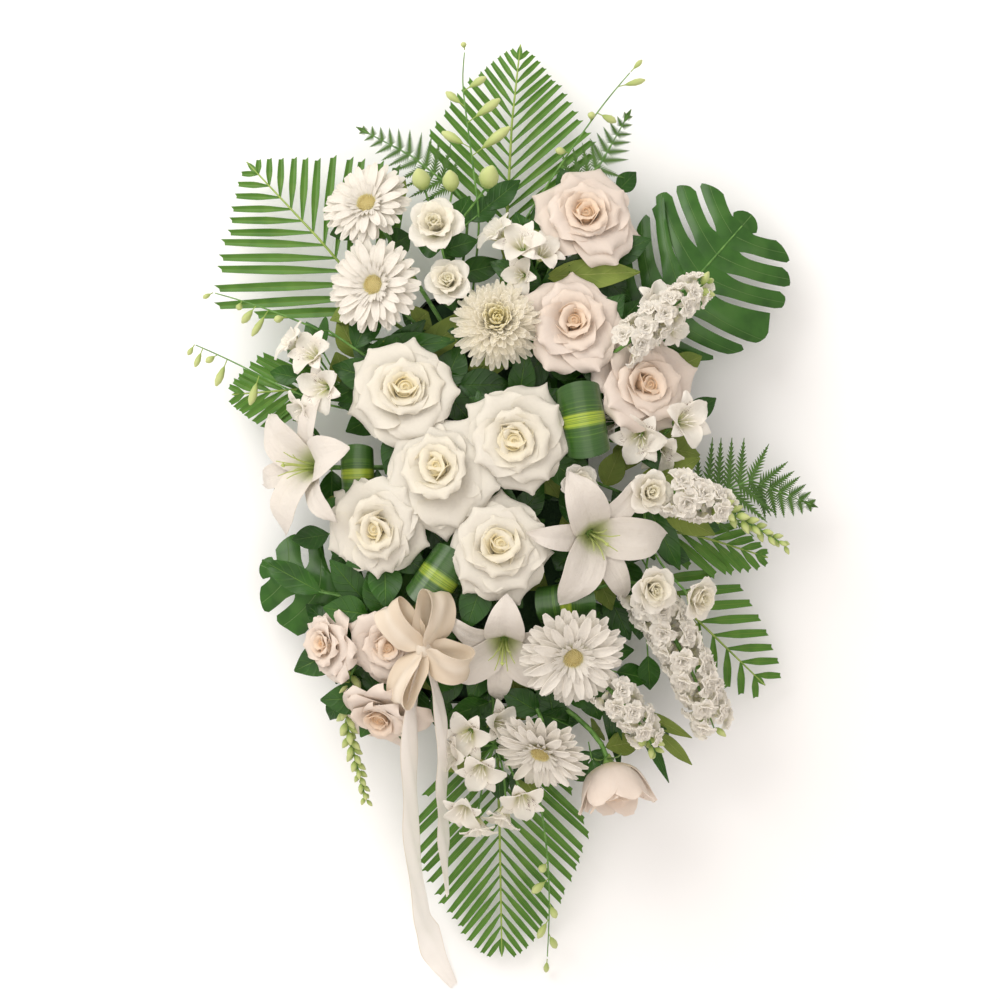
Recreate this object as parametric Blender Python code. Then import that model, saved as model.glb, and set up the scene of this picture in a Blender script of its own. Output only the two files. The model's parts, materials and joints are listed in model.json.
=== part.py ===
"""Funeral flower arrangement, laid on its back.

White blooms, palm, fern and monstera stand in a block of floral foam on a shallow tray, and a satin
bow is tied in front. +Z is up and +Y is the end with the tall palm. The origin is the centre of the
tray's flat underside.
"""

import math
import random

import bpy
import numpy as np
from mathutils.bvhtree import BVHTree

MM = 0.001

# The layout plan: one unit is 1.1 mm, (500, 500) is the centre and the second number runs to -Y.
PLAN_UNIT = 1.1 * MM
PLAN_CENTRE = 500.0
PLAN_EYE = 3.0  # the plan is read from this height, so a higher head stands nearer to the middle
PLAN_LEVEL = 0.12  # the height at which one unit is exactly PLAN_UNIT

# Holder
TRAY_SIZE = (200 * MM, 460 * MM)
TRAY_CORNER = 34 * MM
TRAY_HEIGHT = 40 * MM
TRAY_WALL = 2.4 * MM
TRAY_FLOOR = 2.6 * MM
FOAM_SIZE = (176 * MM, 436 * MM)
FOAM_CORNER = 26 * MM
FOAM_TOP = 88 * MM
FIT_GAP = 0.3 * MM
HOLE_GAP = 0.35 * MM
HOLE_DEPTH = 30 * MM

# The dome that the heads make over the plan
DOME_EDGE = 0.110
DOME_RISE = 0.085
DOME_HALF = (0.270, 0.400)
DOME_CENTRE = (497.0, 485.0)
DOME_LEAN = 0.55

# Blade thicknesses
PETAL = 0.9 * MM
LEAF = 0.9 * MM
RIBBON = 0.7 * MM

# Colours are linear RGB
COLOURS = {
    "white_petal": (0.90, 0.88, 0.82),
    "blush_petal": (0.90, 0.80, 0.72),
    "yellow_disc": (0.52, 0.38, 0.06),
    "palm_green": (0.05, 0.19, 0.03),
    "dark_green": (0.02, 0.08, 0.02),
    "fern_green": (0.02, 0.10, 0.03),
    "bud_green": (0.45, 0.55, 0.20),
    "foam_green": (0.03, 0.10, 0.05),
    "tray_green": (0.02, 0.05, 0.03),
    "satin_cream": (0.86, 0.77, 0.66),
    "pick_wood": (0.42, 0.28, 0.15),
}


def clear_scene():
    for item in list(bpy.data.objects):
        bpy.data.objects.remove(item)


def material(name, roughness=0.5):
    """A Principled material for one colour of the arrangement."""
    found = bpy.data.materials.get(name)
    if found:
        return found
    made = bpy.data.materials.new(name)
    made.use_nodes = True
    shader = made.node_tree.nodes["Principled BSDF"]
    shader.inputs["Base Color"].default_value = (*COLOURS[name], 1.0)
    shader.inputs["Roughness"].default_value = roughness
    shader.inputs["Metallic"].default_value = 0.0
    return made


# Vectors and the plan


def unit(vector):
    vector = np.asarray(vector, float)
    return vector / max(np.linalg.norm(vector), 1e-12)


def spot(u, v, z):
    """The point at height z that lies at (u, v) of the plan."""
    scale = PLAN_UNIT * (PLAN_EYE - z) / (PLAN_EYE - PLAN_LEVEL)
    return np.array([(u - PLAN_CENTRE) * scale, (PLAN_CENTRE - v) * scale, z])


def dome_at(u, v):
    """Height of the dome of heads over the plan, and the direction in which a head there leans."""
    x = (u - DOME_CENTRE[0]) * PLAN_UNIT / DOME_HALF[0]
    y = (DOME_CENTRE[1] - v) * PLAN_UNIT / DOME_HALF[1]
    height = DOME_EDGE + DOME_RISE * max(0.0, 1.0 - x * x - y * y)
    return height, unit((DOME_LEAN * x, DOME_LEAN * y, 1.0))


def leaning(azimuth, lean):
    """The direction that leans by so many degrees from +Z towards azimuth, counted from +X to +Y."""
    a, t = math.radians(azimuth), math.radians(lean)
    return np.array([math.cos(a) * math.sin(t), math.sin(a) * math.sin(t), math.cos(t)])


def turn(axis, spin=0.0):
    """The rotation that takes +Z to axis by the shortest way, after a spin in degrees about +Z."""
    axis = unit(axis)
    x, y, z = axis
    cross = np.array([[0.0, 0.0, x], [0.0, 0.0, y], [-x, -y, 0.0]])
    swing = np.eye(3) + cross + cross @ cross / (1.0 + max(z, -0.999))
    c, s = math.cos(math.radians(spin)), math.sin(math.radians(spin))
    return swing @ np.array([[c, -s, 0.0], [s, c, 0.0], [0.0, 0.0, 1.0]])


def moved(pieces, rotation, place):
    return [(points @ rotation.T + place, *rest) for points, *rest in pieces]


# Shapes: each is its points and its triangles, with the faces turned out. A shape that is left open
# for a stalk also has the ring of points round that opening.


def point_normals(points, tris):
    corners = points[tris]
    across = np.cross(corners[:, 1] - corners[:, 0], corners[:, 2] - corners[:, 0])
    total = np.zeros_like(points)
    for corner in range(3):
        np.add.at(total, tris[:, corner], across)
    return total / np.maximum(np.linalg.norm(total, axis=1, keepdims=True), 1e-12)


def blade(points, tris, thick, open_loop=()):
    """A thin solid round an open sheet, both faces split alike. The edge along open_loop stays open."""
    points, tris = np.array(points, float), np.array(tris, int)
    half = np.broadcast_to(np.asarray(thick, float), len(points))[:, None] / 2
    offset = point_normals(points, tris) * half
    edges = {(t[i], t[(i + 1) % 3]) for t in tris.tolist() for i in range(3)}
    loop = set(open_loop)
    rim = sorted(e for e in edges if e[::-1] not in edges and not loop.issuperset(e))
    n = len(points)
    sides = [t for a, b in rim for t in ((b, a, a + n), (b, a + n, b + n))]
    return np.vstack([points + offset, points - offset]), np.vstack([tris, tris[:, ::-1] + n, sides])


def tube(path, radii, sides=4):
    """A closed tube along a path, with flat ends."""
    path = np.array(path, float)
    radii = np.broadcast_to(np.asarray(radii, float), len(path))
    runs = np.diff(path, axis=0)
    runs /= np.linalg.norm(runs, axis=1, keepdims=True)
    ways = np.vstack([runs[:1], runs[:-1] + runs[1:], runs[-1:]])
    side = np.array([1.0, 0.0, 0.0]) if abs(runs[0][0]) < 0.8 else np.array([0.0, 1.0, 0.0])
    rings = []
    for point, way, radius in zip(path, ways, radii):
        way = unit(way)
        side = unit(side - way * side.dot(way))
        other = np.cross(way, side)
        for k in range(sides):
            angle = 2 * math.pi * (k + 0.5) / sides
            rings.append(point + radius * (math.cos(angle) * side + math.sin(angle) * other))
    tris = []
    for ring in range(len(path) - 1):
        for k in range(sides):
            a, b = ring * sides + k, ring * sides + (k + 1) % sides
            tris += [(a, b, b + sides), (a, b + sides, a + sides)]
    last = (len(path) - 1) * sides
    for k in range(1, sides - 1):
        tris += [(0, k + 1, k), (last, last + k, last + k + 1)]
    return np.array(rings), np.array(tris)


def turned(profile, sides):
    """A closed body of revolution about +Z from (radius, height) pairs, bottom to top."""
    return tube([(0, 0, height) for _, height in profile], [radius for radius, _ in profile], sides)


def wall(lower, upper):
    """Triangles between two rings of as many points, the second above the first."""
    n = len(lower)
    tris = []
    for k in range(n):
        j = (k + 1) % n
        tris += [(lower[k], lower[j], upper[j]), (lower[k], upper[j], upper[k])]
    return tris


def on_stalk(head, path, radii, closed=True):
    """Gives a head that is open below a stalk that runs along path up to its opening."""
    points, tris, ring = head
    sides, n = len(ring), len(points)
    stalk = tube(path, radii, sides)[0][: sides * (len(path) - 1)]
    last, rims = stalk[-sides:], points[list(ring)]
    apart = last.mean(axis=0) - rims.mean(axis=0)
    off = [np.linalg.norm(np.roll(last, -s, axis=0) - rims - apart) for s in range(sides)]
    shift = off.index(min(off))
    rows = []
    for row in range(len(path) - 1):
        rows.append([n + row * sides + (k + shift) % sides for k in range(sides)])
    made = []
    if closed:
        made = [(rows[0][0], rows[0][k + 1], rows[0][k]) for k in range(1, sides - 1)]
    for low, high in zip(rows, rows[1:] + [list(ring)]):
        made += wall(low, high)
    joined = np.vstack([points, stalk]), np.vstack([tris, made])
    return joined if closed else (*joined, rows[0])


def open_tube(path, radii, sides):
    """A tube along a path that is left open at its start, for a stalk."""
    points, tris = tube(path, radii, sides)
    kept = [t for t in tris.tolist() if not set(t) <= set(range(sides))]
    return points, np.array(kept), list(range(sides))


def fuse(name, pieces, colour):
    """One object from closed pieces, by one Boolean union, with any sealed hollow filled."""
    base = mesh_object(name, *pieces[0])
    if len(pieces) > 1:
        parts = bpy.data.collections.new(name + "_parts")
        bpy.context.scene.collection.children.link(parts)
        for points, tris in pieces[1:]:
            mesh_object(name + "_part", points, tris, parts)
        union = base.modifiers.new("fuse", "BOOLEAN")
        union.operation = "UNION"
        union.operand_type = "COLLECTION"
        union.collection = parts
        union.solver = "MANIFOLD"
        graph = bpy.context.evaluated_depsgraph_get()
        joined = bpy.data.meshes.new_from_object(base.evaluated_get(graph))
        base.modifiers.remove(union)
        base.data = joined
        for item in list(parts.objects):
            bpy.data.objects.remove(item)
        bpy.data.collections.remove(parts)
    points, tris = outer_body(*mesh_arrays(base.data))
    bpy.data.objects.remove(base)
    made = mesh_object(name, points, tris)
    made.data.materials.append(material(colour))
    return made


def mesh_object(name, points, tris, collection=None):
    mesh = bpy.data.meshes.new(name)
    mesh.from_pydata(np.asarray(points).tolist(), [], np.asarray(tris).tolist())
    mesh.update()
    made = bpy.data.objects.new(name, mesh)
    (collection or bpy.context.scene.collection).objects.link(made)
    return made


def mesh_arrays(mesh):
    mesh.calc_loop_triangles()
    points = np.empty(len(mesh.vertices) * 3, np.float32)
    mesh.vertices.foreach_get("co", points)
    tris = np.empty(len(mesh.loop_triangles) * 3, np.int32)
    mesh.loop_triangles.foreach_get("vertices", tris)
    return points.reshape(-1, 3).astype(float), tris.reshape(-1, 3)


def outer_body(points, tris):
    """The largest closed body of a mesh. Dropping an inner skin fills the hollow that it closed in."""
    label = np.arange(len(points))
    while True:
        low = label[tris].min(axis=1)
        fresh = label.copy()
        for corner in range(3):
            np.minimum.at(fresh, tris[:, corner], low)
        fresh = fresh[fresh]
        if (fresh == label).all():
            break
        label = fresh
    volumes = {}
    corners = points[tris]
    parts = np.einsum("ij,ij->i", corners[:, 0], np.cross(corners[:, 1], corners[:, 2])) / 6
    for body, part in zip(label[tris[:, 0]].tolist(), parts.tolist()):
        volumes[body] = volumes.get(body, 0.0) + part
    largest = max(volumes, key=volumes.get)
    kept = tris[label[tris[:, 0]] == largest]
    used, kept = np.unique(kept, return_inverse=True)
    return points[used], kept.reshape(-1, 3)


# Petals and leaves


def ring_band(inner, outer):
    """Triangles between two rings of (angle, index), the first inside the second."""
    full = 2 * math.pi

    def at(ring, k):
        return ring[k % len(ring)][0] + full * (k // len(ring))

    n, m = len(inner), len(outer)
    apart = [abs((angle - inner[0][0] + math.pi) % full - math.pi) for angle, _ in outer]
    start = apart.index(min(apart))
    base = round((at(outer, start) - inner[0][0]) / full) * full
    i, j, tris = 0, start, []
    while i < n or j < start + m:
        go_out = i >= n or (j < start + m and at(outer, j + 1) - base <= at(inner, i + 1))
        if go_out:
            tris.append((inner[i % n][1], outer[j % m][1], outer[(j + 1) % m][1]))
            j += 1
        else:
            tris.append((inner[i % n][1], outer[j % m][1], inner[(i + 1) % n][1]))
            i += 1
    return tris


def lobed(sides, core, count, notch, rows, tip=None, spin=0.0, wave=0.0, rng=None, thick=PETAL):
    """A ring of petals in one sheet round a core, cut between the petals down to the notch radius.

    core, notch and tip are (radius, height). rows lists (radius, height, share of the petal's sector)
    from the notch outwards. wave moves each petal's end up or down by up to that much. The sheet stays
    open along the core, whose points come first.
    """
    points, tris, notches = [], [], []
    step = 2 * math.pi / count
    first_angle = math.radians(spin) % step
    inner = []
    for k in range(sides):
        a = 2 * math.pi * (k + 0.5) / sides
        inner.append((a, len(points)))
        points.append((core[0] * math.cos(a), core[0] * math.sin(a), core[1]))
    for i in range(count):
        angle = first_angle + i * step
        lift = rng.uniform(-wave, wave) if rng else 0.0
        notches.append((angle, len(points)))
        points.append((notch[0] * math.cos(angle), notch[0] * math.sin(angle), notch[1]))
        for radius, height, share in rows:
            for side in (-1, 1):
                a = angle + step / 2 * (1 + side * share)
                points.append((radius * math.cos(a), radius * math.sin(a), height + lift))
        if tip:
            a = angle + step / 2
            points.append((tip[0] * math.cos(a), tip[0] * math.sin(a), tip[1] + lift))
    for i in range(count):
        first = notches[i][1]
        near, far = first, notches[(i + 1) % count][1]
        for row in range(len(rows)):
            a, b = first + 1 + 2 * row, first + 2 + 2 * row
            tris += [(near, a, b), (near, b, far)]
            near, far = a, b
        if tip:
            tris.append((near, first + 1 + 2 * len(rows), far))
    tris += ring_band(inner, notches)
    return blade(points, tris, thick, range(sides))


def star(radius, height, depth, seed):
    """A small floret: a cup of four pointed lobes over a calyx that runs down to one point."""
    rng = random.Random(seed)
    points, tris = [], [(0, 2, 4), (0, 4, 6)]
    start = rng.uniform(0, 2 * math.pi)
    for i in range(4):
        a, lift = start + math.pi / 2 * i, rng.uniform(-0.4, 0.4) * height
        points.append((radius * 0.55 * math.cos(a), radius * 0.55 * math.sin(a), 0.0))
        a += math.pi / 4
        points.append((radius * math.cos(a), radius * math.sin(a), height + lift))
        low, tip, after = 2 * i, 2 * i + 1, (2 * i + 2) % 8
        tris += [(low, tip, after), (low, 8, tip), (tip, 8, after)]
    points.append((0.0, 0.0, -depth))
    return [(np.array(points), np.array(tris))]


def stacked(sides, base, layers, top):
    """A head from the bottom up: a base ring, sheets of petals round a core, and a closed top.

    base and each item of top are (radius, height). The head stays open along its base ring.
    """
    a = 2 * math.pi * (np.arange(sides) + 0.5) / sides
    around = np.column_stack([np.cos(a), np.sin(a)])
    points = [np.column_stack([base[0] * around, np.full(sides, base[1])])]
    tris, ring, total = [], list(range(sides)), sides
    for sheet_points, sheet_tris in layers:
        n = len(sheet_points) // 2
        under = [total + n + k for k in range(sides)]
        tris += wall(ring, under)
        tris += (sheet_tris + total).tolist()
        ring = [total + k for k in range(sides)]
        points.append(sheet_points)
        total += len(sheet_points)
    for radius, height in top:
        points.append(np.column_stack([radius * around, np.full(sides, height)]))
        upper = [total + k for k in range(sides)]
        tris += wall(ring, upper)
        ring, total = upper, total + sides
    tris += [(ring[0], ring[k], ring[k + 1]) for k in range(1, sides - 1)]
    return np.vstack(points), np.array(tris), list(range(sides))


def leaf(length, width, droop=0.12, fold=0.12, thick=LEAF, plain=False):
    """A pointed oval leaf from the origin along +X, folded up a little along its rib.

    A plain one is a kite with one row of points, for leaves that lie under the blooms.
    """
    rows = ((0.45, 1.0),) if plain else ((0.32, 0.92), (0.68, 0.80))
    points = [(0.0, 0.0, 0.0)]
    for along, share in rows:
        x, half = length * along, width / 2 * share
        sag = -droop * length * along * along
        points += [(x, -half, sag + fold * half), (x, 0.0, sag), (x, half, sag + fold * half)]
    points.append((length, 0.0, -droop * length))
    tris = [(0, 1, 2), (0, 2, 3), (1, 4, 2), (2, 4, 3)]
    if not plain:
        tris[2:] = [(1, 4, 5), (1, 5, 2), (2, 5, 6), (2, 6, 3), (4, 7, 5), (5, 7, 6)]
    return blade(points, tris, thick)


def aimed(piece, root, tip, up=(0, 0, 1), length=None):
    """A piece made along +X, moved to start at root and point at tip."""
    x = unit(np.asarray(tip) - np.asarray(root))
    y = unit(np.cross(up, x))
    rotation = np.column_stack([x, y, np.cross(x, y)])
    points, tris = piece
    scale = 1.0 if length is None else np.linalg.norm(np.asarray(tip) - np.asarray(root)) / length
    return points * [scale, 1.0, 1.0] @ rotation.T + np.asarray(root), tris


def pinnate(spine, half_rib, left, right, tip, gaps=True, rib=2.6 * MM, thick=LEAF):
    """A frond or cut leaf in one sheet: a rib with lobes that share its edge.

    spine lists the rib's points: two for each lobe where there are gaps between the lobes, and else
    one more than the lobes. left and right list each lobe's outline points, from the rib outwards
    and back. tip is the point that the rib ends in.
    """
    spine = np.array(spine, float)
    runs = np.gradient(spine, axis=0)
    across = np.array([unit(np.cross(run, (0, 0, 1))) for run in runs])
    half = np.broadcast_to(np.asarray(half_rib, float), len(spine))[:, None]
    n, stride = len(spine), 2 if gaps else 1
    points = list(spine + across * half) + list(spine - across * half)
    thicks = [rib] * (2 * n)
    tris = []
    for k in range(n - 1):
        tris += [(k, k + 1, n + k + 1), (k, n + k + 1, n + k)]
    for lobes, base, flip in ((right, 0, False), (left, n, True)):
        for j, outline in enumerate(lobes):
            near, far = base + stride * j, base + stride * j + 1
            ring = list(range(len(points), len(points) + len(outline))) + [far]
            points += [np.asarray(p, float) for p in outline]
            thicks += [thick] * len(outline)
            for a, b in zip(ring[:-1], ring[1:]):
                tris.append((near, b, a) if flip else (near, a, b))
    points.append(np.asarray(tip, float))
    thicks.append(thick)
    tris.append((n - 1, len(points) - 1, 2 * n - 1))
    below = len(points)
    solid = blade(points, tris, thicks, (0, n))
    return (*solid, [n, 0, below, below + n])


# Heads: each opens along +Z, and is open below, near the origin, for its stalk


def scaled(pairs, k):
    """Radii and heights given in mm for a head of the usual size, for one k times as large."""
    return [(first * k * MM, second * k * MM, *rest) for first, second, *rest in pairs]


def rose(radius, opening, seed):
    """Reflexed outer petals, two cups of inner ones and a rolled bud. opening is 0, closed, to 1."""
    rng = random.Random(seed)
    k = radius / (55 * MM)
    wide = 0.50 + 0.50 * opening
    near = 0.6 + 0.4 * wide
    drop = 20 * opening
    start = rng.uniform(0, 360)
    ends = (44 * wide, 27 - 0.8 * drop, 0.84), (58 * wide, 31 - 1.2 * drop)
    outer = scaled([(5, 1), (15 * wide, 5), *ends], k)
    middle = scaled([(5.5, 7), (12 * near, 11), (34 * near, 31, 0.78)], k)
    inner = scaled([(6, 13), (9, 18), (18, 36, 0.78)], k)
    layers = [
        lobed(4, outer[0], 5, outer[1], outer[2:3], outer[3], start, 3.0 * MM, rng),
        lobed(4, middle[0], 5, middle[1], middle[2:], None, start + 36, 1.5 * MM, rng),
        lobed(4, inner[0], 3, inner[1], inner[2:], None, start + 15, 1.0 * MM, rng),
    ]
    return stacked(4, (3.4 * MM, -6 * MM), layers, scaled([(8, 27), (3, 38)], k))


def gerbera(radius, seed):
    """Two rings of narrow petals round a flat disc, with a green cup beneath."""
    rng = random.Random(seed)
    k = radius / (52 * MM)
    outer = scaled([(10, 2), (17, 4), (50, 1, 0.62)], k)
    inner = scaled([(10, 5), (15, 8), (43, 11, 0.60)], k)
    layers = [
        lobed(7, outer[0], 13, outer[1], outer[2:], None, rng.uniform(0, 24), 2.5 * MM, rng),
        lobed(7, inner[0], 9, inner[1], inner[2:], None, rng.uniform(0, 24), 2.0 * MM, rng),
    ]
    return stacked(7, (7 * MM, -5 * MM), layers, [(12 * MM, 9 * MM), (8 * MM, 11 * MM)])


def chrysanthemum(radius, seed):
    """A dense ball: stacked rings of narrow petals, the outer ones turned down."""
    rng = random.Random(seed)
    k = radius / (50 * MM)
    rings = (
        (13, (7, 4), (26, 5), (50, -2)),
        (12, (8, 10), (22, 12), (48, 15)),
        (11, (8, 16), (18, 19), (41, 29)),
        (9, (7, 22), (14, 26), (30, 40)),
        (7, (6, 29), (9, 33), (16, 47)),
    )
    layers = []
    for count, core, notch, tip in rings:
        core, notch, tip = scaled([core, notch, tip], k)
        layers.append(lobed(4, core, count, notch, (), tip, rng.uniform(0, 30), 2.5 * MM, rng))
    return stacked(4, (4 * MM, -8 * MM), layers, scaled([(4, 40)], k))


def lily(radius, seed):
    """Six reflexed tepals in two rings of three, a ring of filaments and a pistil."""
    rng = random.Random(seed)
    k = radius / (70 * MM)
    broad = scaled([(4, 1), (7, 4), (20, 24, 0.62), (46, 37, 0.36), (60, 34, 0.22)], k)
    narrow = scaled([(4, -5), (7, -2), (21, 18, 0.44), (46, 31, 0.25), (60, 28, 0.15)], k)
    tips = scaled([(74, 24), (74, 17)], k)
    hairs = scaled([(3, 7), (4, 9), (19, 50)], k)
    layers = [
        lobed(3, narrow[0], 3, narrow[1], narrow[2:], tips[1], 60, 2.0 * MM, rng, 1.0 * MM),
        lobed(3, broad[0], 3, broad[1], broad[2:], tips[0], 0, 2.0 * MM, rng, 1.0 * MM),
        lobed(3, hairs[0], 6, hairs[1], (), hairs[2], 30, 0.0, rng, 1.2 * MM),
    ]
    return stacked(3, (4.0 * MM, -14 * MM), layers, scaled([(1.6, 14), (1.4, 44), (2.6, 58)], k))


def lisianthus(radius, seed):
    """Two nested cups of broad petals."""
    rng = random.Random(seed)
    k = radius / (24 * MM)
    outer = scaled([(2.4, 1), (9, 8), (24, 27, 0.78)], k)
    inner = scaled([(2.6, 8), (7, 15), (13, 32, 0.75)], k)
    layers = [
        lobed(3, outer[0], 5, outer[1], outer[2:], None, rng.uniform(0, 72), 1.5 * MM, rng),
        lobed(3, inner[0], 3, inner[1], inner[2:], None, rng.uniform(0, 90), 1.0 * MM, rng),
    ]
    return stacked(3, (1.7 * MM, -4 * MM), layers, scaled([(3.4, 20)], k))


def bud(length, width):
    """A pointed bud of four sides."""
    return stacked(3, (1.2 * MM, 0), [], [(width / 2, length * 0.4), (width * 0.14, length)])


def trumpet(radius, seed):
    """A six-lobed trumpet floret."""
    rng = random.Random(seed)
    k = radius / (28 * MM)
    flare = scaled([(2.2, 2), (7.5, 14), (26, 25, 0.66)], k)
    layers = [lobed(3, flare[0], 6, flare[1], flare[2:], None, rng.uniform(0, 60), 2.0 * MM, rng)]
    return stacked(3, (1.6 * MM, -4 * MM), layers, scaled([(1.4, 18)], k))


# Stems


def stem_path(base, axis, foot, way):
    """From the bottom of the hole, out of the foam along way, and on to a head that opens along axis."""
    base, foot, way = np.asarray(base), np.asarray(foot), unit(way)
    rise = foot + way * 7 * MM
    gap = np.linalg.norm(base - rise)
    lean = rise + way * gap * 0.30
    under = base - unit(axis) * gap * 0.30
    middle = 0.125 * rise + 0.375 * lean + 0.375 * under + 0.125 * base
    return [foot - way * HOLE_DEPTH, rise, middle, base]


def pedicel(head, fork, axis, radius, closed):
    """Gives a small head its own stalk, from a fork."""
    base = head[0][list(head[2])].mean(axis=0)
    fork = np.asarray(fork)
    bend = 0.5 * (fork + base) - unit(axis) * 0.12 * np.linalg.norm(base - fork)
    return on_stalk(head, [fork, bend, base], radius, closed)


# Placing: what is placed keeps clear of everything placed before it


def swollen(piece, by):
    points, tris = piece[:2]
    return points + point_normals(points, tris) * by, tris


def tree_of(pieces):
    points, tris, start = [], [], 0
    for piece_points, piece_tris, *_ in pieces:
        points.append(piece_points)
        tris.append(piece_tris + start)
        start += len(piece_points)
    points, tris = np.vstack(points), np.vstack(tris)
    return points.min(axis=0), points.max(axis=0), BVHTree.FromPolygons(points.tolist(), tris.tolist())


def meet(one, other):
    if (one[0] > other[1]).any() or (other[0] > one[1]).any():
        return False
    return bool(one[2].overlap(other[2]))


def is_clear(pieces, placed):
    tree = tree_of([swollen(piece, FIT_GAP) for piece in pieces])
    return not any(meet(tree, other) for other in placed)


def farther(place, out, base):
    """How far a foot is from base, on the plan, less a little where the foam's face looks at it."""
    return np.linalg.norm((place - base)[:2]) - 0.02 * unit(base - place).dot(out)


class Bed:
    """The foam's free places for stems, and what stands in it so far."""

    def __init__(self):
        self.placed = []
        self.holes = []
        self.block = tree_of([turned_box(FOAM_SIZE, FOAM_CORNER, 0.002, FOAM_TOP + FIT_GAP)])
        self.rim = tree_of([turned_box(TRAY_SIZE, TRAY_CORNER, 0.0, TRAY_HEIGHT + FIT_GAP)])
        self.tops = []
        pitch = 18 * MM
        for row in range(-11, 12):
            for column in range(-4, 5):
                x = (column + 0.5 * (row % 2)) * pitch
                y = row * pitch
                if abs(x) < FOAM_SIZE[0] / 2 - 12 * MM and abs(y) < FOAM_SIZE[1] / 2 - 12 * MM:
                    self.tops.append(np.array([x, y, FOAM_TOP]))

    def top_feet(self, base, most=14):
        """Free places on the foam's top, nearest first, each with the way a stem leaves it."""
        order = sorted(self.tops, key=lambda p: np.hypot(*(p - base)[:2]))
        for place in order[:most]:
            out = (base - place) * (1, 1, 0)
            far = np.linalg.norm(out)
            yield place, unit(np.array([0, 0, 1.0]) + unit(out) * min(far / 0.09, 1.0))

    def side_feet(self, base, height):
        """Places on the foam's sides at a height, nearest first, with the way out towards base."""
        half_x, half_y = FOAM_SIZE[0] / 2, FOAM_SIZE[1] / 2
        flat_x, flat_y = half_x - FOAM_CORNER, half_y - FOAM_CORNER
        places = []
        for share in (0, -0.25, 0.25, -0.5, 0.5, -0.75, 0.75, -0.95, 0.95):
            for sign in (-1, 1):
                side_x, side_y = np.array([sign, 0, 0]), np.array([0, sign, 0])
                places.append((np.array([sign * half_x, share * flat_y, height]), side_x))
                if abs(share) < 0.9:
                    places.append((np.array([share * flat_x, sign * half_y, height]), side_y))
        places.sort(key=lambda item: farther(*item, base))
        for place, out in places[:8]:
            toward = unit((base - place) * (1, 1, 0))
            if toward.dot(out) > 0.35:
                yield place, unit(toward + out * 0.6 + (0, 0, 0.06))

    def stand(self, name, heads, base, axis, radius, colour, sides=4, low=None):
        """Tries feet for a stem to base, and makes the plant if it is clear of all the others.

        A head that is open below is closed by the stem; other pieces are fused with a stem of theirs.
        """
        if not is_clear(heads, self.placed + [self.block, self.rim]):
            return None
        feet = self.side_feet(base, low) if low else self.top_feet(base)
        for foot, way in feet:
            path = stem_path(base, axis, foot, way)
            stem = tube(path, radius, sides)
            upper = tube(path[1:], radius, sides)
            if is_clear([stem], self.placed) and is_clear([upper], [self.block, self.rim]):
                whole = [stem, heads[0]]
                if len(heads[0]) == 3:
                    whole = [on_stalk(heads[0], path, radius)]
                pieces = whole + list(heads[1:])
                self.placed.append(tree_of(pieces))
                self.holes.append((path[0], way, radius, sides))
                if not low:
                    self.tops = [p for p in self.tops if np.linalg.norm(p - foot) > 6 * MM]
                return fuse(name, pieces, colour)
        return None

    def tried(self, name, tries):
        """Makes the plant at the first of the tries that is clear of all the others."""
        for settings in tries:
            made = self.stand(name, *settings)
            if made:
                return made
        raise RuntimeError(f"{name} has no free place")


def turned_box(size, corner, bottom, top, steps=3):
    """An upright block with rounded corners."""
    outline = []
    for quarter, (sx, sy) in enumerate(((1, 1), (-1, 1), (-1, -1), (1, -1))):
        for i in range(steps + 1):
            a = math.pi / 2 * (quarter + i / steps)
            x = sx * (size[0] / 2 - corner) + corner * math.cos(a)
            y = sy * (size[1] / 2 - corner) + corner * math.sin(a)
            outline.append((x, y))
    n = len(outline)
    points = [(x, y, bottom) for x, y in outline] + [(x, y, top) for x, y in outline]
    tris = []
    for k in range(n):
        j = (k + 1) % n
        tris += [(k, j, j + n), (k, j + n, k + n)]
    for k in range(1, n - 1):
        tris += [(0, k + 1, k), (n, n + k, n + k + 1)]
    return np.array(points, float), np.array(tris)


SHIFTS = [0.0] + [sign * step * 3 * MM for step in range(1, 16) for sign in (1, -1)]


def settle(bed, name, head, place, axis, spin, middle, radius, colour):
    """Places one head over its point of the plan, at the free height nearest to the dome's."""
    level, lean = dome_at(*place)
    axis = lean if axis is None else unit(axis)
    rotation = turn(axis, spin)
    head = head if isinstance(head, list) else [head]
    sides = len(head[0][2]) if len(head[0]) == 3 else 4
    tries = []
    for shift in SHIFTS:
        base = spot(*place, level + shift) - axis * middle
        over_foam = np.hypot(base[0], base[1] * 0.4) < FOAM_SIZE[0] / 2
        if base[2] > FOAM_TOP - 20 * MM or not over_foam:
            heads = moved(head, rotation, base)
            tries.append((heads, base - axis * 5 * MM, axis, radius, colour, sides))
    return bed.tried(name, tries)


# Fronds


def along(points, count):
    """count points evenly spaced along a smooth line through the given ones."""
    points = np.array(points, float)
    steps = np.concatenate([[0], np.cumsum(np.linalg.norm(np.diff(points, axis=0), axis=1))])
    want = np.linspace(0, steps[-1], count)
    return np.column_stack([np.interp(want, steps, points[:, i]) for i in range(3)])


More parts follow.
